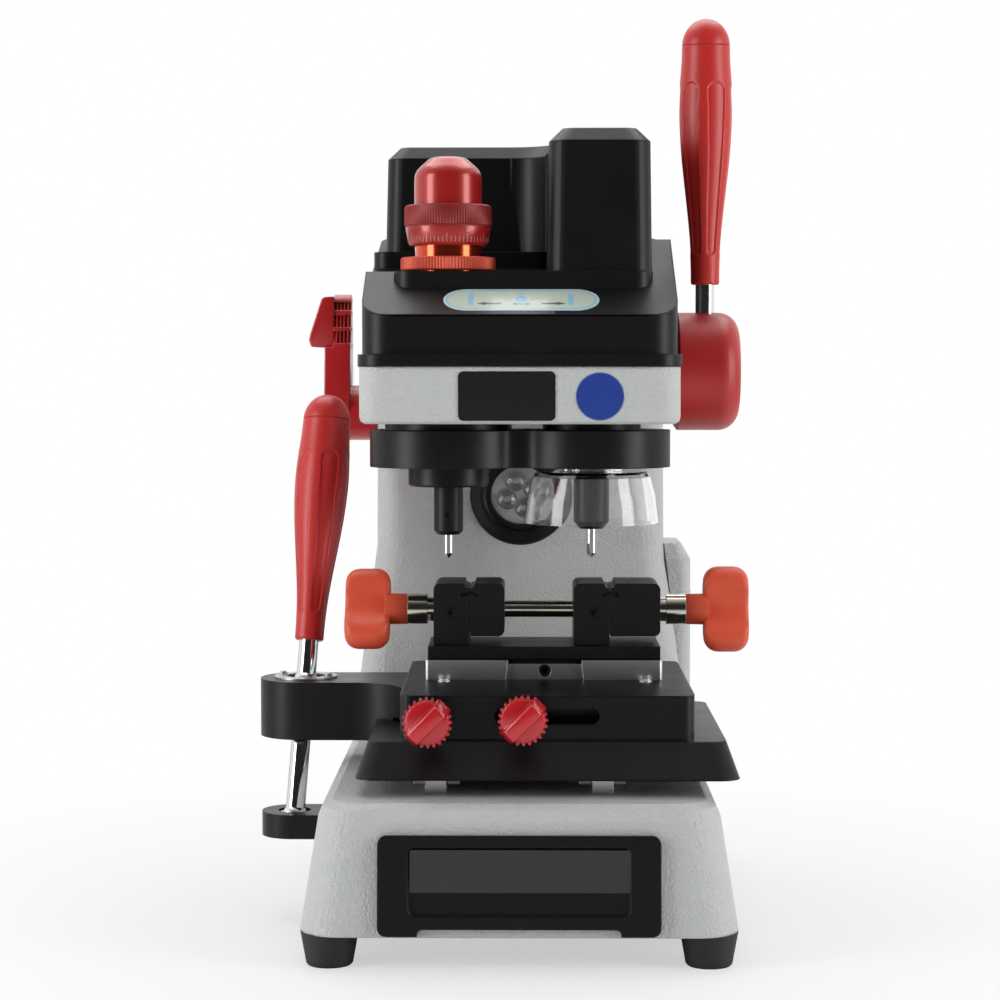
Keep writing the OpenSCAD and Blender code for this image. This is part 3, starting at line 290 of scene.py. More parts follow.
def rubber_skin():
    material, surface = new_finish("rubber_skin", (0.012, 0.012, 0.012), 0.6)
    add_bump(material, surface, grain(material, 1500.0, 3.0), 0.00006, edge=0.0008)
    return material


def clear_plastic(name, colour, roughness, ior):
    material, surface = new_finish(name, colour, roughness)
    surface.inputs["Transmission Weight"].default_value = 1.0
    surface.inputs["IOR"].default_value = ior
    add_bump(material, surface, grain(material, 160.0, 2.0), 0.00001)
    return material


def printed(name, colour, roughness=0.35):
    """Printed film, very slightly mottled."""
    material, surface = new_finish(name, colour, roughness)
    dark = [c * 0.94 for c in colour]
    link(material, blend_colours(material, grain(material, 260.0, 2.0), dark, colour),
         surface.inputs["Base Color"])
    surface.inputs["Coat Weight"].default_value = 0.4
    surface.inputs["Coat Roughness"].default_value = 0.15
    return material


# ---------------------------------------------------------------- shapes

# Places in the machine's own millimetres, from the point midway between the tools
MACHINE = Vector((MIDDLE_X, TOOL_Y, 0.0))
FEED_GRIP_FOOT = (116.4, 52.0, 388.5)
MICROMETER_AXIS = (-43.75, 0.0, 0.0)
X_KNOB_SEAT = (2.0, -109.0, 136.0)
Y_KNOB_SEAT = (-52.4, -108.0, 134.5)
LEFT_WING_SEAT = (-68.6, 0, 188.5)
RIGHT_WING_SEAT = (101.4, 0, 188.5)
LOCK_PIVOT = (0, 141.0, 306.5)
LAMP_HEIGHT = 253.0


def settle(bm, at=(0.0, 0.0, 0.0), turn=None):
    """Brings a shape made in millimetres round its own origin to its place in the machine."""
    place = Matrix.Translation(MACHINE + Vector(at) * MM)
    if turn is not None:
        place = place @ turn
    bmesh.ops.transform(bm, matrix=place @ Matrix.Scale(MM, 4), verts=bm.verts)
    return bm


def new_piece(name, bm, body, slot, *materials, stands_for=(), sharp=32.0):
    """Makes the shape a piece that moves with a body; edges over `sharp` degrees stay sharp."""
    mesh = bpy.data.meshes.new(name)
    bm.to_mesh(mesh)
    bm.free()
    mesh.shade_smooth()
    mesh.set_sharp_from_angle(angle=math.radians(sharp))
    for material in materials:
        mesh.materials.append(material)
    piece = bpy.data.objects.new(name, mesh)
    scene.collection.objects.link(piece)
    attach(piece, body)
    if stands_for:
        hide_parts(*stands_for)


def turned(points, steps=96, ring=False):
    """Revolve of a profile of (radius, height) round Z; a ring's profile closes on itself."""
    bm = bmesh.new()
    corners = [bm.verts.new((radius, 0.0, height)) for radius, height in points]
    ends = corners[1:] + corners[:1] if ring else corners[1:]
    edges = [bm.edges.new(pair) for pair in zip(corners, ends)]
    bmesh.ops.spin(bm, geom=corners + edges, cent=(0, 0, 0), axis=(0, 0, 1), angle=math.tau,
                   steps=steps, use_merge=True)
    bmesh.ops.remove_doubles(bm, verts=bm.verts, dist=1e-4)
    bmesh.ops.recalc_face_normals(bm, faces=bm.faces)
    return bm


def join_shapes(shapes):
    """One shape out of several, in their order."""
    bm = bmesh.new()
    for shape in shapes:
        mesh = bpy.data.meshes.new("part")
        shape.to_mesh(mesh)
        shape.free()
        bm.from_mesh(mesh)
        bpy.data.meshes.remove(mesh)
    return bm


def block(bm, low, high, bevel=0.0, segments=3):
    """Box between two corners, with its edges rounded."""
    size = [b - a for a, b in zip(low, high)]
    centre = [(a + b) / 2 for a, b in zip(low, high)]
    made = bmesh.ops.create_cube(bm, size=1.0)
    bmesh.ops.scale(bm, vec=size, verts=made["verts"])
    bmesh.ops.translate(bm, vec=centre, verts=made["verts"])
    if bevel:
        edges = list({edge for vert in made["verts"] for edge in vert.link_edges})
        bmesh.ops.bevel(bm, geom=edges, offset=bevel, segments=segments, profile=0.5,
                        affect="EDGES", material=-1)
    return bm


def slab_of(bm, outline, height, base=0.0, paint=0):
    """Flat shape with a thickness along Z."""
    face = bm.faces.new([bm.verts.new((x, y, base)) for x, y in outline])
    face.normal_update()
    if face.normal.z < 0:
        face.normal_flip()
    grown = bmesh.ops.extrude_face_region(bm, geom=[face], use_keep_orig=True)
    top = [item for item in grown["geom"] if isinstance(item, bmesh.types.BMVert)]
    bmesh.ops.translate(bm, vec=(0, 0, height), verts=top)
    for made in {f for vert in top for f in vert.link_faces} | {face}:
        made.material_index = paint
    return bm


def round_box(width, height, radius, centre=(0.0, 0.0), steps=10):
    """Outline of a rectangle with round corners."""
    outline = []
    for turn, sx, sy in ((0, 1, 1), (90, -1, 1), (180, -1, -1), (270, 1, -1)):
        for step in range(steps + 1):
            a = math.radians(turn + 90.0 * step / steps)
            outline.append((centre[0] + sx * (width / 2 - radius) + radius * math.cos(a),
                            centre[1] + sy * (height / 2 - radius) + radius * math.sin(a)))
    return outline


def oval(width, height, centre=(0.0, 0.0), steps=40):
    return [(centre[0] + width / 2 * math.cos(math.tau * i / steps),
             centre[1] + height / 2 * math.sin(math.tau * i / steps)) for i in range(steps)]


def lettering(bm, words, height, width, centre, base, paint):
    """Raised plain words or numbers, made a mesh before they are placed."""
    curve = bpy.data.curves.new("words", "FONT")
    curve.body = words
    curve.extrude = 0.03
    text = bpy.data.objects.new("words", curve)
    scene.collection.objects.link(text)
    shape = bpy.data.meshes.new_from_object(text.evaluated_get(bpy.context.evaluated_depsgraph_get()))
    bpy.data.objects.remove(text)
    letters = bmesh.new()
    letters.from_mesh(shape)
    bmesh.ops.remove_doubles(letters, verts=letters.verts, dist=1e-5)
    low = [min(v.co[k] for v in letters.verts) for k in range(3)]
    high = [max(v.co[k] for v in letters.verts) for k in range(3)]
    for v in letters.verts:
        v.co.x = centre[0] + (v.co.x - (low[0] + high[0]) / 2) * width / (high[0] - low[0])
        v.co.y = centre[1] + (v.co.y - (low[1] + high[1]) / 2) * height / (high[1] - low[1])
        v.co.z = base + (v.co.z - low[2])
    for face in letters.faces:
        face.material_index = paint
    letters.to_mesh(shape)
    letters.free()
    bm.from_mesh(shape)
    bpy.data.meshes.remove(shape)


def front_of(node, x, z):
    """How far forward a node's surface is, in machine millimetres, seen from the front."""
    bm = bmesh.new()
    bm.from_mesh(nodes[node].data)
    tree = BVHTree.FromBMesh(bm)
    bm.free()
    start = MACHINE + Vector((x * MM, 0, z * MM)) - Vector((0, 1, 0))
    hit = tree.ray_cast(start, Vector((0, 1, 0)))[0]
    return (hit.y - MACHINE.y) / MM


def soft_step(value):
    value = min(1.0, max(0.0, value))
    return value * value * (3 - 2 * value)


# ---------------------------------------------------------------- grips

def ease(low, high, share):
    return low + (high - low) * (1 - math.cos(math.pi * share)) / 2


def grip_shape(length):
    """Turned grip with a domed cap, a seam under it and six sunken panels."""
    foot, most, neck = 9.0, 17.0, 15.0
    swell, shoulder = length * 0.66, length - 17.0
    points = [(0, 35), (6.05, 35), (6.05, 0), (8, 0), (8.7, 0.5), (9, 1.5), (9, 4)]
    height = 4.8
    while height < shoulder - 1.2:
        if height < swell:
            points.append((ease(foot, most, (height - 4) / (swell - 4)), height))
        else:
            points.append((ease(most, neck, (height - swell) / (shoulder - swell)), height))
        height += 0.8
    points += [(15.03, shoulder - 0.7), (14.95, shoulder - 0.5), (14.5, shoulder - 0.4),
               (14.5, shoulder), (14.95, shoulder + 0.1)]
    for step in range(1, 16):
        a = math.radians(6 * step)
        points.append((neck * math.cos(a), shoulder + 17 * math.sin(a)))
    bm = turned(points, steps=216)
    low, high = length * 0.13, length * 0.72
    for vert in bm.verts:
        radius = math.hypot(vert.co.x, vert.co.y)
        if radius < 8.5 or not low - 8 < vert.co.z < high + 8:
            continue
        turn = math.degrees(math.atan2(vert.co.y, vert.co.x)) + 70.0
        across = radius * math.radians((turn + 30.0) % 60.0 - 30.0)
        along = min(high, max(low, vert.co.z))
        half = 3.0 + 3.0 * (along - low) / (high - low)
        inside = half - math.hypot(across, vert.co.z - along)
        sunk = 0.85 * soft_step((inside + 0.35) / 0.9)
        vert.co.x *= (radius - sunk) / radius
        vert.co.y *= (radius - sunk) / radius
    return bm


def add_grips():
    red = satin_plastic("grip_red", (0.56, 0.022, 0.018), 0.36)
    feed = settle(grip_shape(166.0), FEED_GRIP_FOOT)
    new_piece("feed_grip_shape", feed, "feed_lever", "grip_red", red, stands_for=["feed_grip"])
    low, high = Vector((-139.0, 2.0, 59.3)), Vector((-133.6, 22.0, 140.0))
    back = math.atan((high.y - low.y) / (high.z - low.z))
    side = math.atan((high.x - low.x) * math.cos(back) / (high.z - low.z))
    lean = Matrix.Rotation(side, 4, "Y") @ Matrix.Rotation(-back, 4, "X")
    table = grip_shape(158.0)
    bmesh.ops.translate(table, vec=(0, 0, 110), verts=table.verts)
    new_piece("table_grip_shape", settle(table, low, lean), "table_lever", "grip_red", red,
              stands_for=["table_lever_grip"])
    return red


# ---------------------------------------------------------------- micrometer

def knurl(bm, low, high, least, depth):
    """Fine vertical serration: every other line of a turned band is set in."""
    for vert in bm.verts:
        radius = math.hypot(vert.co.x, vert.co.y)
        if low <= vert.co.z <= high and radius > least:
            line = round(math.atan2(vert.co.y, vert.co.x) / math.tau * 192) % 192
            if line % 2:
                vert.co.x *= (radius - depth) / radius
                vert.co.y *= (radius - depth) / radius


def add_micrometer():
    cap = [(0, 448), (10, 448), (10, 436), (20.4, 436), (20.4, 410), (23.2, 410), (24.1, 411),
           (26.0, 421.2), (26.0, 422), (26.7, 422.6), (26.7, 432.6), (26.2, 434), (24.8, 434.8),
           (20.6, 435), (20.6, 450.4), (20.45, 452.2), (20.0, 453.9), (19.0, 455.9), (16.4, 458.6),
           (13.2, 461.4), (12.2, 462.4), (10.8, 463.3), (9, 463.9), (0, 464.3)]
    bm = turned(cap, steps=192)
    knurl(bm, 422.5, 433.0, 26.5, 0.45)
    for face in bm.faces:
        centre = face.calc_center_median()
        if 421.5 < centre.z < 434.9 and math.hypot(centre.x, centre.y) > 24.5:
            face.material_index = 1
    red = dyed_metal("cap_red", (0.42, 0.014, 0.01), 0.3, 0.2, 0.4)
    knurled = dyed_metal("knurl_red", (0.27, 0.016, 0.012), 0.5, 0.2, 0.0)
    new_piece("micrometer_cap_shape", settle(bm, MICROMETER_AXIS), "micrometer", "micrometer_red",
              red, knurled, stands_for=["micrometer_cap"])
    # graduations and plain numbers round the lower cone
    marks = bmesh.new()
    slope = math.atan(1.9 / 10.2)
    for line in range(60):
        tall = 5.2 if line % 5 == 0 else 3.2
        height = 411.8 + tall / 2
        radius = 24.1 + 1.9 * (height - 411) / 10.2
        place = (Matrix.Rotation(math.tau * line / 60, 4, "Z") @ Matrix.Translation((radius, 0, height))
                 @ Matrix.Rotation(slope, 4, "Y"))
        made = bmesh.ops.create_cube(marks, size=1.0)
        bmesh.ops.scale(marks, vec=(0.14, 0.3, tall), verts=made["verts"])
        bmesh.ops.transform(marks, matrix=place, verts=made["verts"])
    for line in range(0, 60, 10):
        words = str(line)
        digits = bmesh.new()
        lettering(digits, words, 2.3, 1.3 * len(words), (0, 0), 0.0, 0)
        place = (Matrix.Rotation(math.tau * line / 60, 4, "Z") @ Matrix.Translation((25.53, 0, 418.9))
                 @ Matrix.Rotation(slope, 4, "Y") @ Matrix.Rotation(math.pi / 2, 4, "Z")
                 @ Matrix.Rotation(math.pi / 2, 4, "X"))
        bmesh.ops.transform(digits, matrix=place, verts=digits.verts)
        marks = join_shapes([marks, digits])
    new_piece("micrometer_marks", settle(marks, MICROMETER_AXIS), "micrometer", "micrometer_red",
              printed("mark_pale", (0.62, 0.3, 0.26)))
    ring = turned([(20.6, 395), (28.2, 395), (29.0, 395.8), (29.0, 402.2), (28.2, 403), (20.6, 403)],
                  steps=192, ring=True)
    knurl(ring, 395.5, 402.5, 28.5, 0.45)
    orange = dyed_metal("ring_orange", (0.62, 0.075, 0.035), 0.45, 0.3, 0.0)
    new_piece("lock_ring_shape", settle(ring, MICROMETER_AXIS), "lock_ring", "anodised_orange", orange,
              stands_for=["lock_ring"])


# ---------------------------------------------------------------- knobs

def star_knob_shape(stud, collar):
    """Knob with a notched rim and a raised bar; it looks along +Z, its seat is at 0."""
    back = [(0, -stud), (4, -stud), (4, -collar), (7.5, -collar), (7.5, 0)] if collar else [
        (0, -stud), (4, -stud), (4, 0)]
    bm = turned(back + [(9.5, 0), (9.5, 5), (0, 5)], steps=48)
    teeth = 24
    radii = (14.3, 14.3, 12.7, 12.7)
    rim = [(radii[i % 4] * math.cos(math.tau * i / (4 * teeth)),
            radii[i % 4] * math.sin(math.tau * i / (4 * teeth))) for i in range(4 * teeth)]
    slab_of(bm, rim, 5.6, base=4.0)
    dome = turned([(0, 8), (12.6, 8), (12.6, 9.8), (12.2, 10.5), (10.8, 11.2), (8.2, 11.8), (0, 12.2)])
    bm = join_shapes([bm, dome])
    bar = bmesh.ops.create_cube(bm, size=1.0)["verts"]
    bmesh.ops.scale(bm, vec=(10.6, 30.2, 15.0), verts=bar)
    bmesh.ops.translate(bm, vec=(0, 0, 13.5), verts=bar)
    for vert in bar:
        if vert.co.z > 13:
            vert.co.x *= 0.8
            vert.co.y *= 0.74
    edges = list({edge for vert in bar for edge in vert.link_edges})
    grown = bmesh.ops.bevel(bm, geom=edges, offset=1.5, segments=3, profile=0.5, affect="EDGES",
                            material=-1)
    verts = {vert for face in grown["faces"] for vert in face.verts}
    bmesh.ops.rotate(bm, cent=(0, 0, 0), matrix=Matrix.Rotation(math.radians(-45), 3, "Z"),
                     verts=list(verts))
    return bm


def add_star_knobs():
    red = glossy_plastic("knob_red", (0.56, 0.014, 0.02), 0.2)
    outwards = Matrix.Rotation(math.pi / 2, 4, "X")
    new_piece("x_knob_shape", settle(star_knob_shape(26, 8.6), X_KNOB_SEAT, outwards),
              "x_lock", "star_red", red, stands_for=["x_lock_knob"])
    new_piece("y_knob_shape", settle(star_knob_shape(45, 0), Y_KNOB_SEAT, outwards),
              "y_lock", "star_red", red, stands_for=["y_lock_knob"])


def wing_shape(turn):
    """Wing knob along -X from its collar: a round neck, and a wing thin in its middle."""
    width, half_height, lobe, waist = 27.5, 26.25, 9.5, 22.0
    span = half_height - lobe
    hollow = lobe + waist
    centre = math.sqrt(hollow * hollow - span * span)
    tangent = span * waist / hollow

    def half_thickness(z):
        if abs(z) < tangent:
            return centre - math.sqrt(waist * waist - z * z)
        return math.sqrt(max(0.0, lobe * lobe - (abs(z) - span) ** 2))

    count = 72
    bm = bmesh.new()
    made = bmesh.ops.create_circle(bm, cap_ends=False, segments=count, radius=1.0)["verts"]
    flat = []
    for index, vert in enumerate(made):
        a = math.tau * index / count
        z = half_height * math.sin(a)
        y = half_thickness(z) * (1 if math.cos(a) > 0 else -1)
        if abs(math.cos(a)) < 1e-6:
            y = 0.0
        flat.append((y, z))

    def share(inset, radius, half):
        if inset >= radius:
            return 1.0
        return (half - radius + math.sqrt(radius * radius - (radius - inset) ** 2)) / half

    insets = [0, 0.25, 0.8, 1.7, 3.0, 4.6, 6.5, 9.0]
    stations = [(d, d) for d in insets] + [(width - d, d) for d in reversed(insets)]
    loop = list({edge for vert in made for edge in vert.link_edges})
    verts = made
    for number, (x, inset) in enumerate(stations):
        if number:
            grown = bmesh.ops.extrude_edge_only(bm, edges=loop)["geom"]
            # the new verts keep the order of the old ones
            fresh = [item for item in grown if isinstance(item, bmesh.types.BMVert)]
            partner = {}
            for vert in fresh:
                for edge in vert.link_edges:
                    other = edge.other_vert(vert)
                    if other in verts:
                        partner[other] = vert
            verts = [partner[vert] for vert in verts]
            loop = [item for item in grown if isinstance(item, bmesh.types.BMEdge)
                    and item.verts[0] in fresh and item.verts[1] in fresh]
        for vert, (y, z) in zip(verts, flat):
            vert.co = (-11.0 - x, y * share(inset, 3.6, lobe), z * share(inset, 9.0, half_height))
    bmesh.ops.holes_fill(bm, edges=[edge for edge in bm.edges if edge.is_boundary])
    bmesh.ops.recalc_face_normals(bm, faces=bm.faces)
    bmesh.ops.rotate(bm, cent=(0, 0, 0), matrix=Matrix.Rotation(math.radians(turn), 3, "X"),
                     verts=bm.verts)
    neck = turned([(0, 0), (8.9, 0), (9.3, 0.4), (9.6, 14), (0, 14)], steps=64)
    bmesh.ops.rotate(neck, cent=(0, 0, 0), matrix=Matrix.Rotation(-math.pi / 2, 3, "Y"), verts=neck.verts)
    return join_shapes([bm, neck])


def add_wing_knobs():
    orange = satin_plastic("wing_orange_red", (0.72, 0.085, 0.036), 0.42)
    new_piece("left_wing_shape", settle(wing_shape(-30), LEFT_WING_SEAT), "left_clamp",
              "wing_orange", orange, stands_for=["left_wing_knob"], sharp=50.0)
    round_about = Matrix.Rotation(math.pi, 4, "Z")
    new_piece("right_wing_shape", settle(wing_shape(10), RIGHT_WING_SEAT, round_about), "right_clamp",
              "wing_orange", orange, stands_for=["right_wing_knob"], sharp=50.0)


# ---------------------------------------------------------------- lever that locks the head

ARM_OUTLINE = [(-18.4, -2), (-17.6, 14), (-15, 30), (-11.8, 44), (-7, 60), (-3, 70), (1.4, 76.4),
               (5.5, 79), (10, 78), (13.5, 74), (15.6, 66), (17.4, 52), (18.5, 30), (18.4, -2)]


def arm_part(x, heights, setback=0.0, bevel=0.0):
    """Part of the arm between two heights, extruded along X; y and z are from the pivot."""
    outline = [(18.5 * math.cos(math.radians(a)), 18.5 * math.sin(math.radians(a)))
               for a in range(-6, -175, -7)] + [(y, z) for y, z in ARM_OUTLINE]
    bm = bmesh.new()
    slab_of(bm, [(y + (setback if y < 3 else 0.0), z) for y, z in outline], x[1] - x[0])
    upright = Matrix.Rotation(math.pi / 2, 4, "Z") @ Matrix.Rotation(math.pi / 2, 4, "X")
    bmesh.ops.transform(bm, matrix=Matrix.Translation((x[0], 0, 0)) @ upright, verts=bm.verts)
    for height, normal in ((heights[0], (0, 0, -1)), (heights[1], (0, 0, 1))):
        cut = bmesh.ops.bisect_plane(bm, geom=bm.verts[:] + bm.edges[:] + bm.faces[:],
                                     plane_co=(0, 0, height), plane_no=normal, clear_outer=True)
        rim = [item for item in cut["geom_cut"] if isinstance(item, bmesh.types.BMEdge)]
        if rim:
            bmesh.ops.holes_fill(bm, edges=rim)
    bmesh.ops.remove_doubles(bm, verts=bm.verts, dist=1e-4)
    bmesh.ops.recalc_face_normals(bm, faces=bm.faces)
    if bevel:
        edges = [e for e in bm.edges if len(e.link_faces) == 2 and e.calc_face_angle(0) > 0.6]
        bmesh.ops.bevel(bm, geom=edges, offset=bevel, segments=3, profile=0.5, affect="EDGES",
                        material=-1)
    return bm


def add_lock_lever():
    side = Matrix.Rotation(math.pi / 2, 4, "Y")
    hub = turned([(0, 15), (18.3, 15), (18.3, 33.8), (17.7, 34.4), (6, 34.4), (6, 56), (0, 56)], steps=72)
    bmesh.ops.transform(hub, matrix=Matrix.Translation((-130, 0, 0)) @ side, verts=hub.verts)
    shapes = [hub, arm_part((-130, -113), (-30, 44), bevel=1.0),
              arm_part((-124.5, -113), (43, 79.5), setback=5.0, bevel=0.6)]
    for low, high in ((43.2, 46.4), (54.4, 57.0), (65.0, 68.3), (73.6, 79.5)):
        shapes.append(arm_part((-124.5, -113), (low, high), bevel=0.4))
    for line in range(4):
        shapes.append(arm_part((-122.6 + 2.4 * line, -121.6 + 2.4 * line), (45, 76), setback=1.2))
    tab = bmesh.new()
    slab_of(tab, [(-124, 43.1), (-139.4, 43.8), (-141, 48.4), (-140, 53), (-132.5, 75.6), (-130.6, 77.2),
                  (-124, 77.6)], 16.0)
    bmesh.ops.recalc_face_normals(tab, faces=tab.faces)
    edges = [e for e in tab.edges if e.calc_face_angle(0) > 0.6]
    bmesh.ops.bevel(tab, geom=edges, offset=1.1, segments=3, profile=0.5, affect="EDGES", material=-1)
    bmesh.ops.transform(tab, matrix=Matrix.Translation((0, 10, 0)) @ Matrix.Rotation(math.pi / 2, 4, "X"),
                        verts=tab.verts)
    shapes.append(tab)
    red = glossy_plastic("lever_red", (0.5, 0.014, 0.016), 0.28, coat=0.4)
    new_piece("lock_lever_shape", settle(join_shapes(shapes), LOCK_PIVOT), "lock_lever",
              "grip_red", red, stands_for=["lock_lever"])


# ---------------------------------------------------------------- deck, plates and lamp

DECK_FRONT = (-60.0, 367.8)  # y and z of the foot of the sloping deck
DECK_SLOPE = 0.52


def deck_wedge(x, level):
    """Steep front of the cover's deck, which lies on the shallower one and ends at a level."""
    bm = bmesh.new()
    block(bm, (-93.5, -62.0, 340.0), (93.5, 170.0, 430.0))
    upright = [e for e in bm.edges if abs(e.verts[0].co.z - e.verts[1].co.z) > 50]
    bmesh.ops.bevel(bm, geom=upright, offset=18.0, segments=10, profile=0.5, affect="EDGES", material=-1)
    cuts = [((0, *DECK_FRONT), (0, -DECK_SLOPE, 1)), ((0, 0, level), (0, 0, 1)),
            ((0, DECK_FRONT[0], DECK_FRONT[1] - 1.2), (0, 0.25, -1)),
            ((x[0], 0, 0), (-1, 0, 0)), ((x[1], 0, 0), (1, 0, 0))]
    for place, normal in cuts:
        cut = bmesh.ops.bisect_plane(bm, geom=bm.verts[:] + bm.edges[:] + bm.faces[:], plane_co=place,
                                     plane_no=Vector(normal).normalized(), clear_outer=True)
        rim = [item for item in cut["geom_cut"] if isinstance(item, bmesh.types.BMEdge)]
        if rim:
            bmesh.ops.holes_fill(bm, edges=rim)
    bmesh.ops.remove_doubles(bm, verts=bm.verts, dist=1e-4)
    bmesh.ops.recalc_face_normals(bm, faces=bm.faces)
    return bm


def add_deck(black):
    bm = join_shapes([deck_wedge((-120, 30), 394.4), deck_wedge((20, 120), 416.0)])
    new_piece("deck", settle(bm), "head", "black_plastic", black, sharp=20.0)


def add_deck_label():
    """Pale strip that shows which way the locks turn, with round ends."""
    bm = bmesh.new()
    slab_of(bm, round_box(92.4, 28.6, 14.2), 0.30, base=-0.1, paint=0)
    slab_of(bm, round_box(89.4, 25.8, 12.8), 0.26, paint=1)
    slab_of(bm, round_box(87.4, 23.6, 11.7), 0.32, paint=2)
    for x in (-29.9, 29.3):
        slab_of(bm, round_box(3.3, 15.5, 1.6, (x, 0)), 0.38, paint=3)
    slab_of(bm, oval(6.8, 7.6, (0, 0.4)), 0.38, paint=4)
    slab_of(bm, oval(3.8, 3.8, (-0.3, 7.2)), 0.38, paint=3)
    for way in (-1, 1):
        slab_of(bm, [(way * 12.0, -6.4), (way * 21.0, -6.4), (way * 21.0, -7.6), (way * 26.3, -5.4),
                     (way * 21.0, -3.2), (way * 21.0, -4.4), (way * 12.0, -4.4)], 0.38, paint=5)
    slab_of(bm, [(-5.6, -6.0), (-3.0, -7.9), (-3.0, -6.6), (3.0, -6.6), (3.0, -7.9), (5.6, -6.0),
                 (3.0, -4.1), (3.0, -5.4), (-3.0, -5.4), (-3.0, -4.1)], 0.38, paint=6)
    lettering(bm, "ON", 3.4, 4.8, (-7.8, 0.5), 0.33, 7)
    lettering(bm, "OFF", 3.4, 7.0, (9.5, 0.5), 0.33, 8)
    lean = Matrix.Rotation(math.atan(DECK_SLOPE), 4, "X")
    y = -43.9
    z = DECK_FRONT[1] + DECK_SLOPE * (y - DECK_FRONT[0])
    new_piece("deck_label", settle(bm, (0.9, y, z), lean), "head", "black_plastic",
              printed("label_edge", (0.52, 0.70, 0.76), 0.5), printed("label_line", (0.27, 0.57, 0.76)),
              printed("label_field", (0.56, 0.64, 0.55), 0.5), printed("label_blue", (0.30, 0.60, 0.80)),
              printed("label_button", (0.12, 0.42, 0.76)), printed("label_brown", (0.16, 0.045, 0.05)),
              printed("label_green", (0.05, 0.26, 0.18)), printed("label_on", (0.36, 0.56, 0.36)),
              printed("label_off", (0.56, 0.42, 0.28)))


def upright_plate(name, shape, x, z, node, body, slot, *materials, lift=0.0):
    """Thin plate that stands on the front of a node."""
    stand = Matrix.Rotation(math.pi / 2, 4, "X")
    y = front_of(node, x, z) - lift
    new_piece(name, settle(shape, (x, y, z), stand), body, slot, *materials)


def add_plates():
    black = printed("plate_black", (0.007, 0.007, 0.008), 0.3)
    plate = slab_of(bmesh.new(), round_box(57.1, 29.0, 3.2), 0.7, base=-0.15)
    upright_plate("head_plate", plate, -7.6, 319.5, "head_casting", "head", "black_plastic", black)
    disc = bmesh.new()
    slab_of(disc, oval(28.2, 28.2, steps=72), 0.40, base=-0.15, paint=0)
    slab_of(disc, oval(26.9, 26.9, steps=72), 0.43, paint=1)
    upright_plate("blue_disc", disc, 47.0, 319.3, "head_casting", "head", "casting",
                  printed("disc_rim", (0.08, 0.14, 0.4)), printed("disc_blue", (0.014, 0.045, 0.30)))
    panel = slab_of(bmesh.new(), round_box(123.0, 38.6, 1.5), 0.5, base=-0.1)
    upright_plate("badge_panel", panel, 0.6, 49.0, "badge_frame", "base", "black_plastic", black)


def add_lamp_lenses():
    """Grey carrier with four bowls, each with its light source under a clear lens."""
    face = front_of("lamp_glass", 0, LAMP_HEIGHT) + 8.0
    carrier = turned([(0, -6), (19.0, -6), (19.0, 0), (0, 0)], steps=72)
    shapes, lenses = [], []
    for number in range(4):
        turn = math.radians(20 + 90 * number)
        spot = Vector((9.3 * math.cos(turn), 9.3 * math.sin(turn), 0.05))
        bowl = turned([(0, 0.3), (2.2, 0.3), (5.9, 2.6), (6.6, 3.2), (7.2, 3.2), (7.4, 0), (0, 0)], steps=48)
        bmesh.ops.translate(bowl, vec=spot, verts=bowl.verts)
        shapes.append(bowl)
        source = block(bmesh.new(), (-1.3, -1.3, 0.3), (1.3, 1.3, 1.1), bevel=0.25)
        for f in source.faces:
            f.material_index = 1
        bmesh.ops.translate(source, vec=spot, verts=source.verts)
        shapes.append(source)
        lens = turned([(0, 2.4), (5.4, 2.7), (5.6, 3.2), (5.0, 4.3), (3.6, 5.3), (1.9, 5.8), (0, 6)])
        bmesh.ops.translate(lens, vec=spot, verts=lens.verts)
        lenses.append(lens)
    stand = Matrix.Rotation(math.pi / 2, 4, "X")
    grey = polished("lamp_grey", (0.30, 0.30, 0.30), 0.4)
    yellow = printed("light_source", (0.42, 0.40, 0.20))
    bm = join_shapes([carrier] + shapes)
    new_piece("lamp_bowls", settle(bm, (0, face, LAMP_HEIGHT), stand), "base", "led", grey, yellow,
              stands_for=["lamp_leds"])
    clear = clear_plastic("small_lens", (1.0, 1.0, 1.0), 0.06, 1.45)
    new_piece("lamp_small_lenses", settle(join_shapes(lenses), (0, face, LAMP_HEIGHT), stand),
              "base", "led", clear)


# ---------------------------------------------------------------- finishes of the frame's nodes

def dress(material, *names):
    for name in names:
        mesh = nodes[name].data
        mesh.materials.clear()
        mesh.materials.append(material)


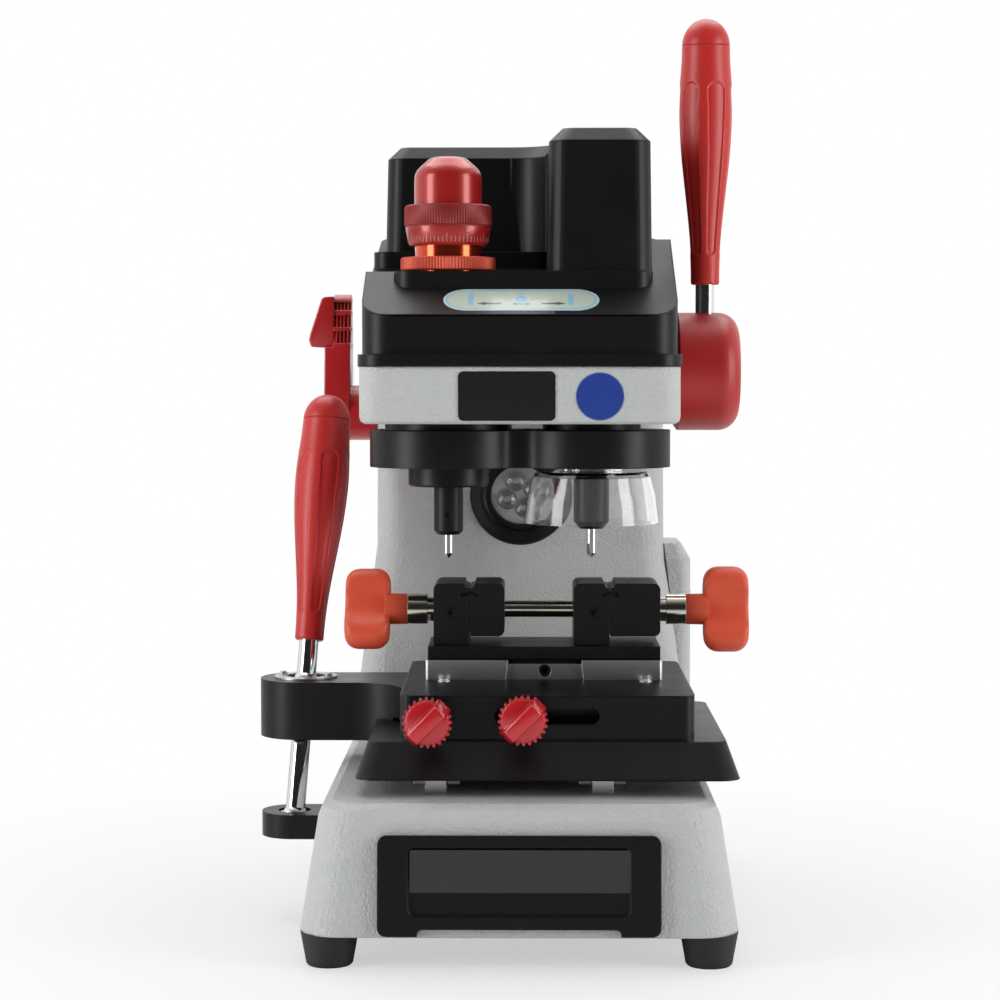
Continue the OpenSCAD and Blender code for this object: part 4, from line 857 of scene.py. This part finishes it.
def dress_frame():
    dress(casting_paint(), "base_casting", "side_box", "head_casting")
    black = moulded_black()
    dress(black, "table_cover", "head_cover", "badge_frame", "lamp_bezel", "power_inlet")
    dress(black_coat(), "lever_bracket", "lever_arm", "spindle_plate", "tracer_flange",
          "rear_plate", "bottom_plate")
    dress(black_oxide(), "vise_base", "left_fixed_jaw", "right_fixed_jaw", "left_moving_jaw",
          "right_moving_jaw", "jaw_screws", "spindle", "tracer_quill")
    dress(brushed("ground_steel", (0.62, 0.62, 0.63), 0.3, (1.0, 1.0, 0.1)),
          "slide_rails", "x_rails", "y_bearings", "x_bearings", "head_bearings", "ball_race")
    # very dark brushed metal for the saddle, table plate and inner parts: its low colour is partly their
    # dark finish and partly painted shade for where they sit under the covers
    dress(brushed("dark_machined_and_painted_shade", (0.06, 0.06, 0.065), 0.4, (0.1, 1.0, 1.0)),
          "saddle", "table_plate", "feed_rack", "feed_shaft", "spindle_housing", "motor")
    dress(brushed("mill_aluminium", (0.6, 0.61, 0.61), 0.38, (0.1, 1.0, 1.0)), "vise_mount")
    dress(brushed("ring_aluminium", (0.5, 0.51, 0.51), 0.35, (1.0, 1.0, 1.0)), "arm_ring")
    dress(polished("zinc", (0.7, 0.7, 0.7), 0.22), "foot_screws", "table_screws")
    dress(polished("nickel", (0.72, 0.69, 0.6), 0.12), "left_clamp_screw", "right_clamp_screw")
    dress(polished("chrome", (0.78, 0.78, 0.79), 0.07), "table_lever_rod", "feed_rod")
    dress(polished("tool_steel", (0.62, 0.62, 0.63), 0.2), "cutter", "tracer_point")
    dress(satin_plastic("hub_red", (0.45, 0.018, 0.015), 0.36), "feed_hub")
    dress(dyed_metal("neck_orange", (0.72, 0.075, 0.02), 0.16, 0.9, 0.4), "micrometer_sleeve")
    dress(rubber_skin(), "rubber_feet")
    dress(glossy_plastic("switch_red", (0.25, 0.005, 0.005), 0.2), "power_switch")
    dress(clear_plastic("guard_clear", (1.0, 1.0, 1.0), 0.03, 1.45), "chip_guard")
    dress(clear_plastic("lens_clear", (1.0, 1.0, 1.0), 0.02, 1.45), "lamp_glass")
    return black


# ---------------------------------------------------------------- studio

def add_world(light, darkest):
    """Even light on the object, plain white to look at, and a dark room behind the viewer
    that only a glossy surface sees."""
    world = bpy.data.worlds.new("studio")
    scene.world = world
    world.use_nodes = True
    tree = world.node_tree
    tree.nodes.clear()
    output = tree.nodes.new("ShaderNodeOutputWorld")
    path = tree.nodes.new("ShaderNodeLightPath")
    place = tree.nodes.new("ShaderNodeTexCoord")
    axes = tree.nodes.new("ShaderNodeSeparateXYZ")
    tree.links.new(place.outputs["Generated"], axes.inputs[0])
    room = tree.nodes.new("ShaderNodeMapRange")
    room.interpolation_type = "SMOOTHSTEP"
    room.inputs["From Min"].default_value = -0.85
    room.inputs["From Max"].default_value = 0.3
    room.inputs["To Min"].default_value = darkest
    tree.links.new(axes.outputs["Y"], room.inputs["Value"])

    def choose(factor, first, second):
        mix = tree.nodes.new("ShaderNodeMix")
        mix.inputs["A"].default_value = first
        mix.inputs["B"].default_value = second
        tree.links.new(factor, mix.inputs["Factor"])
        return mix

    glossy = choose(path.outputs["Is Glossy Ray"], light, 1.0)
    tree.links.new(room.outputs["Result"], glossy.inputs["B"])
    through = choose(path.outputs["Is Transmission Ray"], light, 1.0)
    tree.links.new(glossy.outputs["Result"], through.inputs["A"])
    seen = choose(path.outputs["Is Camera Ray"], light, 1.0)
    tree.links.new(through.outputs["Result"], seen.inputs["A"])
    background = tree.nodes.new("ShaderNodeBackground")
    background.inputs["Color"].default_value = (1.0, 1.0, 1.0, 1.0)
    tree.links.new(seen.outputs["Result"], background.inputs["Strength"])
    tree.links.new(background.outputs[0], output.inputs["Surface"])


def add_floor():
    bm = bmesh.new()
    bmesh.ops.create_circle(bm, cap_ends=True, segments=96, radius=12.0)
    mesh = bpy.data.meshes.new("floor")
    bm.to_mesh(mesh)
    bm.free()
    floor = bpy.data.objects.new("floor", mesh)
    scene.collection.objects.link(floor)
    material, surface = new_finish("floor_white", (0.9, 0.9, 0.9), 0.6)
    glow = add_node(material, "ShaderNodeEmission")
    glow.inputs["Color"].default_value = (1.0, 1.0, 1.0, 1.0)
    # plain white away from the machine, and shaded close to it
    distance = add_node(material, "ShaderNodeVectorMath", operation="LENGTH")
    link(material, own_place(material), distance.inputs[0])
    far = add_node(material, "ShaderNodeMapRange", interpolation_type="SMOOTHSTEP")
    far.inputs["From Min"].default_value = 0.15
    far.inputs["From Max"].default_value = 0.6
    far.inputs["To Min"].default_value = 0.55
    link(material, distance.outputs["Value"], far.inputs["Value"])
    path = add_node(material, "ShaderNodeLightPath")
    shown = add_node(material, "ShaderNodeMath", operation="MAXIMUM")
    link(material, path.outputs["Is Camera Ray"], shown.inputs[0])
    link(material, path.outputs["Is Transmission Ray"], shown.inputs[1])
    factor = add_node(material, "ShaderNodeMath", operation="MULTIPLY")
    link(material, far.outputs["Result"], factor.inputs[0])
    link(material, shown.outputs["Value"], factor.inputs[1])
    mix = add_node(material, "ShaderNodeMixShader")
    link(material, factor.outputs["Value"], mix.inputs[0])
    link(material, surface.outputs[0], mix.inputs[1])
    link(material, glow.outputs[0], mix.inputs[2])
    link(material, mix.outputs[0], material.node_tree.nodes["Material Output"].inputs["Surface"])
    mesh.materials.append(material)


def add_lamp(name, place, aim, size, power):
    data = bpy.data.lights.new(name, "AREA")
    data.shape = "RECTANGLE"
    data.size, data.size_y = size
    data.energy = power
    lamp = bpy.data.objects.new(name, data)
    scene.collection.objects.link(lamp)
    lamp.location = place
    lamp.rotation_euler = (Vector(aim) - Vector(place)).to_track_quat("-Z", "Y").to_euler()


def add_studio():
    add_world(0.3, 0.02)
    add_floor()
    heart = (0.0, 0.0, 0.28)
    add_lamp("left_softbox", (-1.4, -0.75, 0.42), heart, (0.6, 1.5), 18.0)
    add_lamp("right_softbox", (1.4, -0.65, 0.42), heart, (0.6, 1.5), 16.0)
    add_lamp("top_softbox", (0.0, 0.5, 1.6), heart, (1.6, 1.1), 15.0)
    scene.view_settings.view_transform = "Standard"


# ---------------------------------------------------------------- everything

add_camera()
add_studio()
black_cover = dress_frame()
add_grips()
add_micrometer()
add_star_knobs()
add_wing_knobs()
add_lock_lever()
add_deck(black_cover)
add_deck_label()
add_plates()
add_lamp_lenses()
